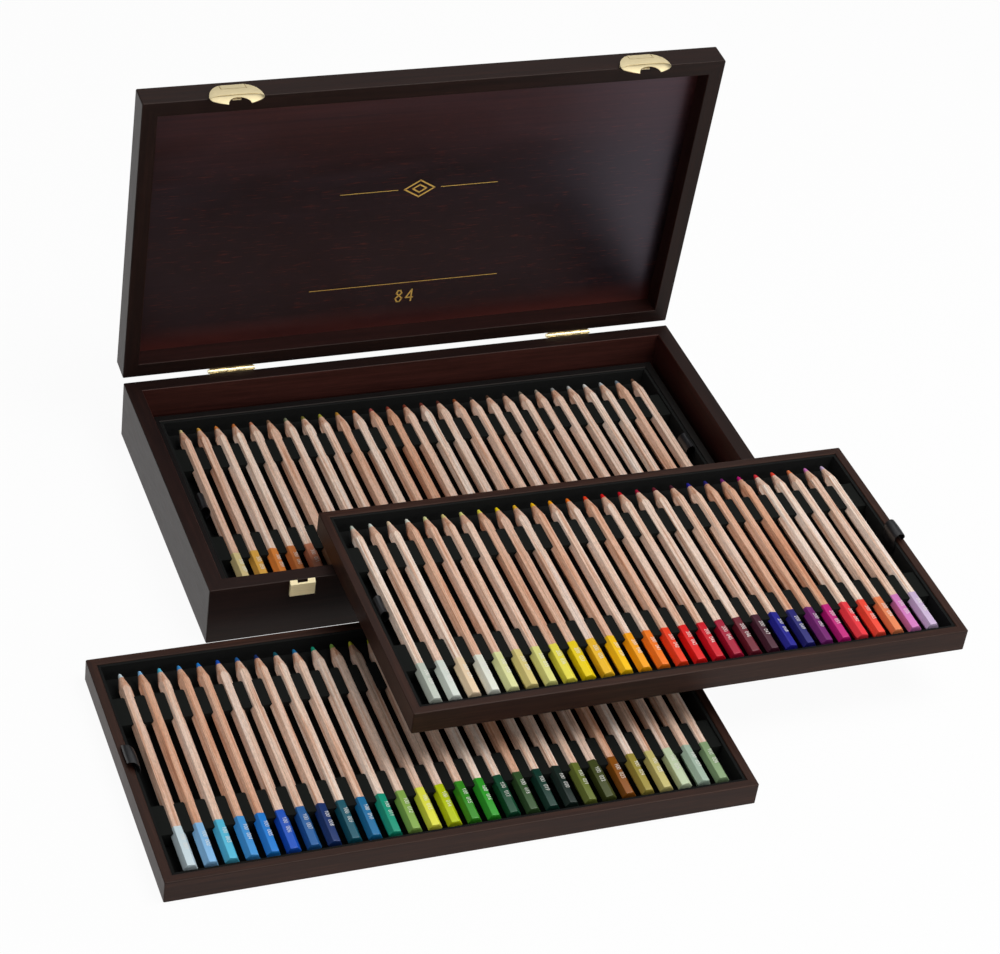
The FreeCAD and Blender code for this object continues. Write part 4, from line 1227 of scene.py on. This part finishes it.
class CASE_OT_ribbons(bpy.types.Operator):
    """Add the pull ribbons of the trays"""

    bl_idname = "pencil_case.add_ribbons"
    bl_label = "Add ribbons"

    def execute(self, context):
        satin = woven_satin("black satin ribbon", context.scene.case_colours.ribbon[:])
        for tray in TRAYS:
            add_ribbons(tray, satin)
        return {"FINISHED"}


class CASE_OT_gold(bpy.types.Operator):
    """Add the gold rules inside the lid"""

    bl_idname = "pencil_case.add_gold_marks"
    bl_label = "Add gold marks"

    def execute(self, context):
        gold = gold_leaf("gold foil", context.scene.case_colours.gold[:])
        add_gold_marks(context.scene.case_sizes.rule_width, gold)
        return {"FINISHED"}


class CASE_OT_stage(bpy.types.Operator):
    """Add the floor, the lights and the camera"""

    bl_idname = "pencil_case.set_stage"
    bl_label = "Set stage"

    def execute(self, context):
        add_floor()
        add_world()
        add_softbox("overhead softbox", (0.65, -0.5, 2.1), (0, -0.1, 0), 1.4, 1.4, 40)
        add_softbox("front softbox", (0.9, -2.3, 0.8), (0, -0.1, 0.05), 1.2, 0.8, 14)
        add_softbox("left softbox", (-2.2, -0.3, 0.8), (0, -0.1, 0.1), 1.0, 1.0, 2)
        add_camera()
        context.scene.view_settings.view_transform = "Standard"
        return {"FINISHED"}


class CASE_PT_panel(bpy.types.Panel):
    """Lists the case's settings and its operators"""

    bl_idname = "CASE_PT_panel"
    bl_label = "Pencil case"
    bl_space_type = "VIEW_3D"
    bl_region_type = "UI"
    bl_category = "Pencil case"

    def draw(self, context):
        for group in (context.scene.case_sizes, context.scene.case_colours):
            for name in group.__annotations__:
                self.layout.prop(group, name)
        for operator in OPERATORS:
            self.layout.operator(operator.bl_idname)


OPERATORS = (CASE_OT_woods, CASE_OT_linings, CASE_OT_fittings, CASE_OT_pencils, CASE_OT_bars,
             CASE_OT_ribbons, CASE_OT_gold, CASE_OT_stage)
CLASSES = (CaseColours, CaseSizes, *OPERATORS, CASE_PT_panel)


def register():
    for item in CLASSES:
        bpy.utils.register_class(item)
    bpy.types.Scene.case_colours = PointerProperty(type=CaseColours)
    bpy.types.Scene.case_sizes = PointerProperty(type=CaseSizes)


def unregister():
    del bpy.types.Scene.case_sizes
    del bpy.types.Scene.case_colours
    for item in reversed(CLASSES):
        bpy.utils.unregister_class(item)


def main():
    register()
    bpy.ops.pencil_case.finish_woods()
    bpy.ops.pencil_case.finish_linings()
    bpy.ops.pencil_case.finish_fittings()
    bpy.ops.pencil_case.add_pencils()
    bpy.ops.pencil_case.add_foam_bars()
    bpy.ops.pencil_case.add_ribbons()
    bpy.ops.pencil_case.add_gold_marks()
    bpy.ops.pencil_case.set_stage()


if __name__ == "__main__":
    main()
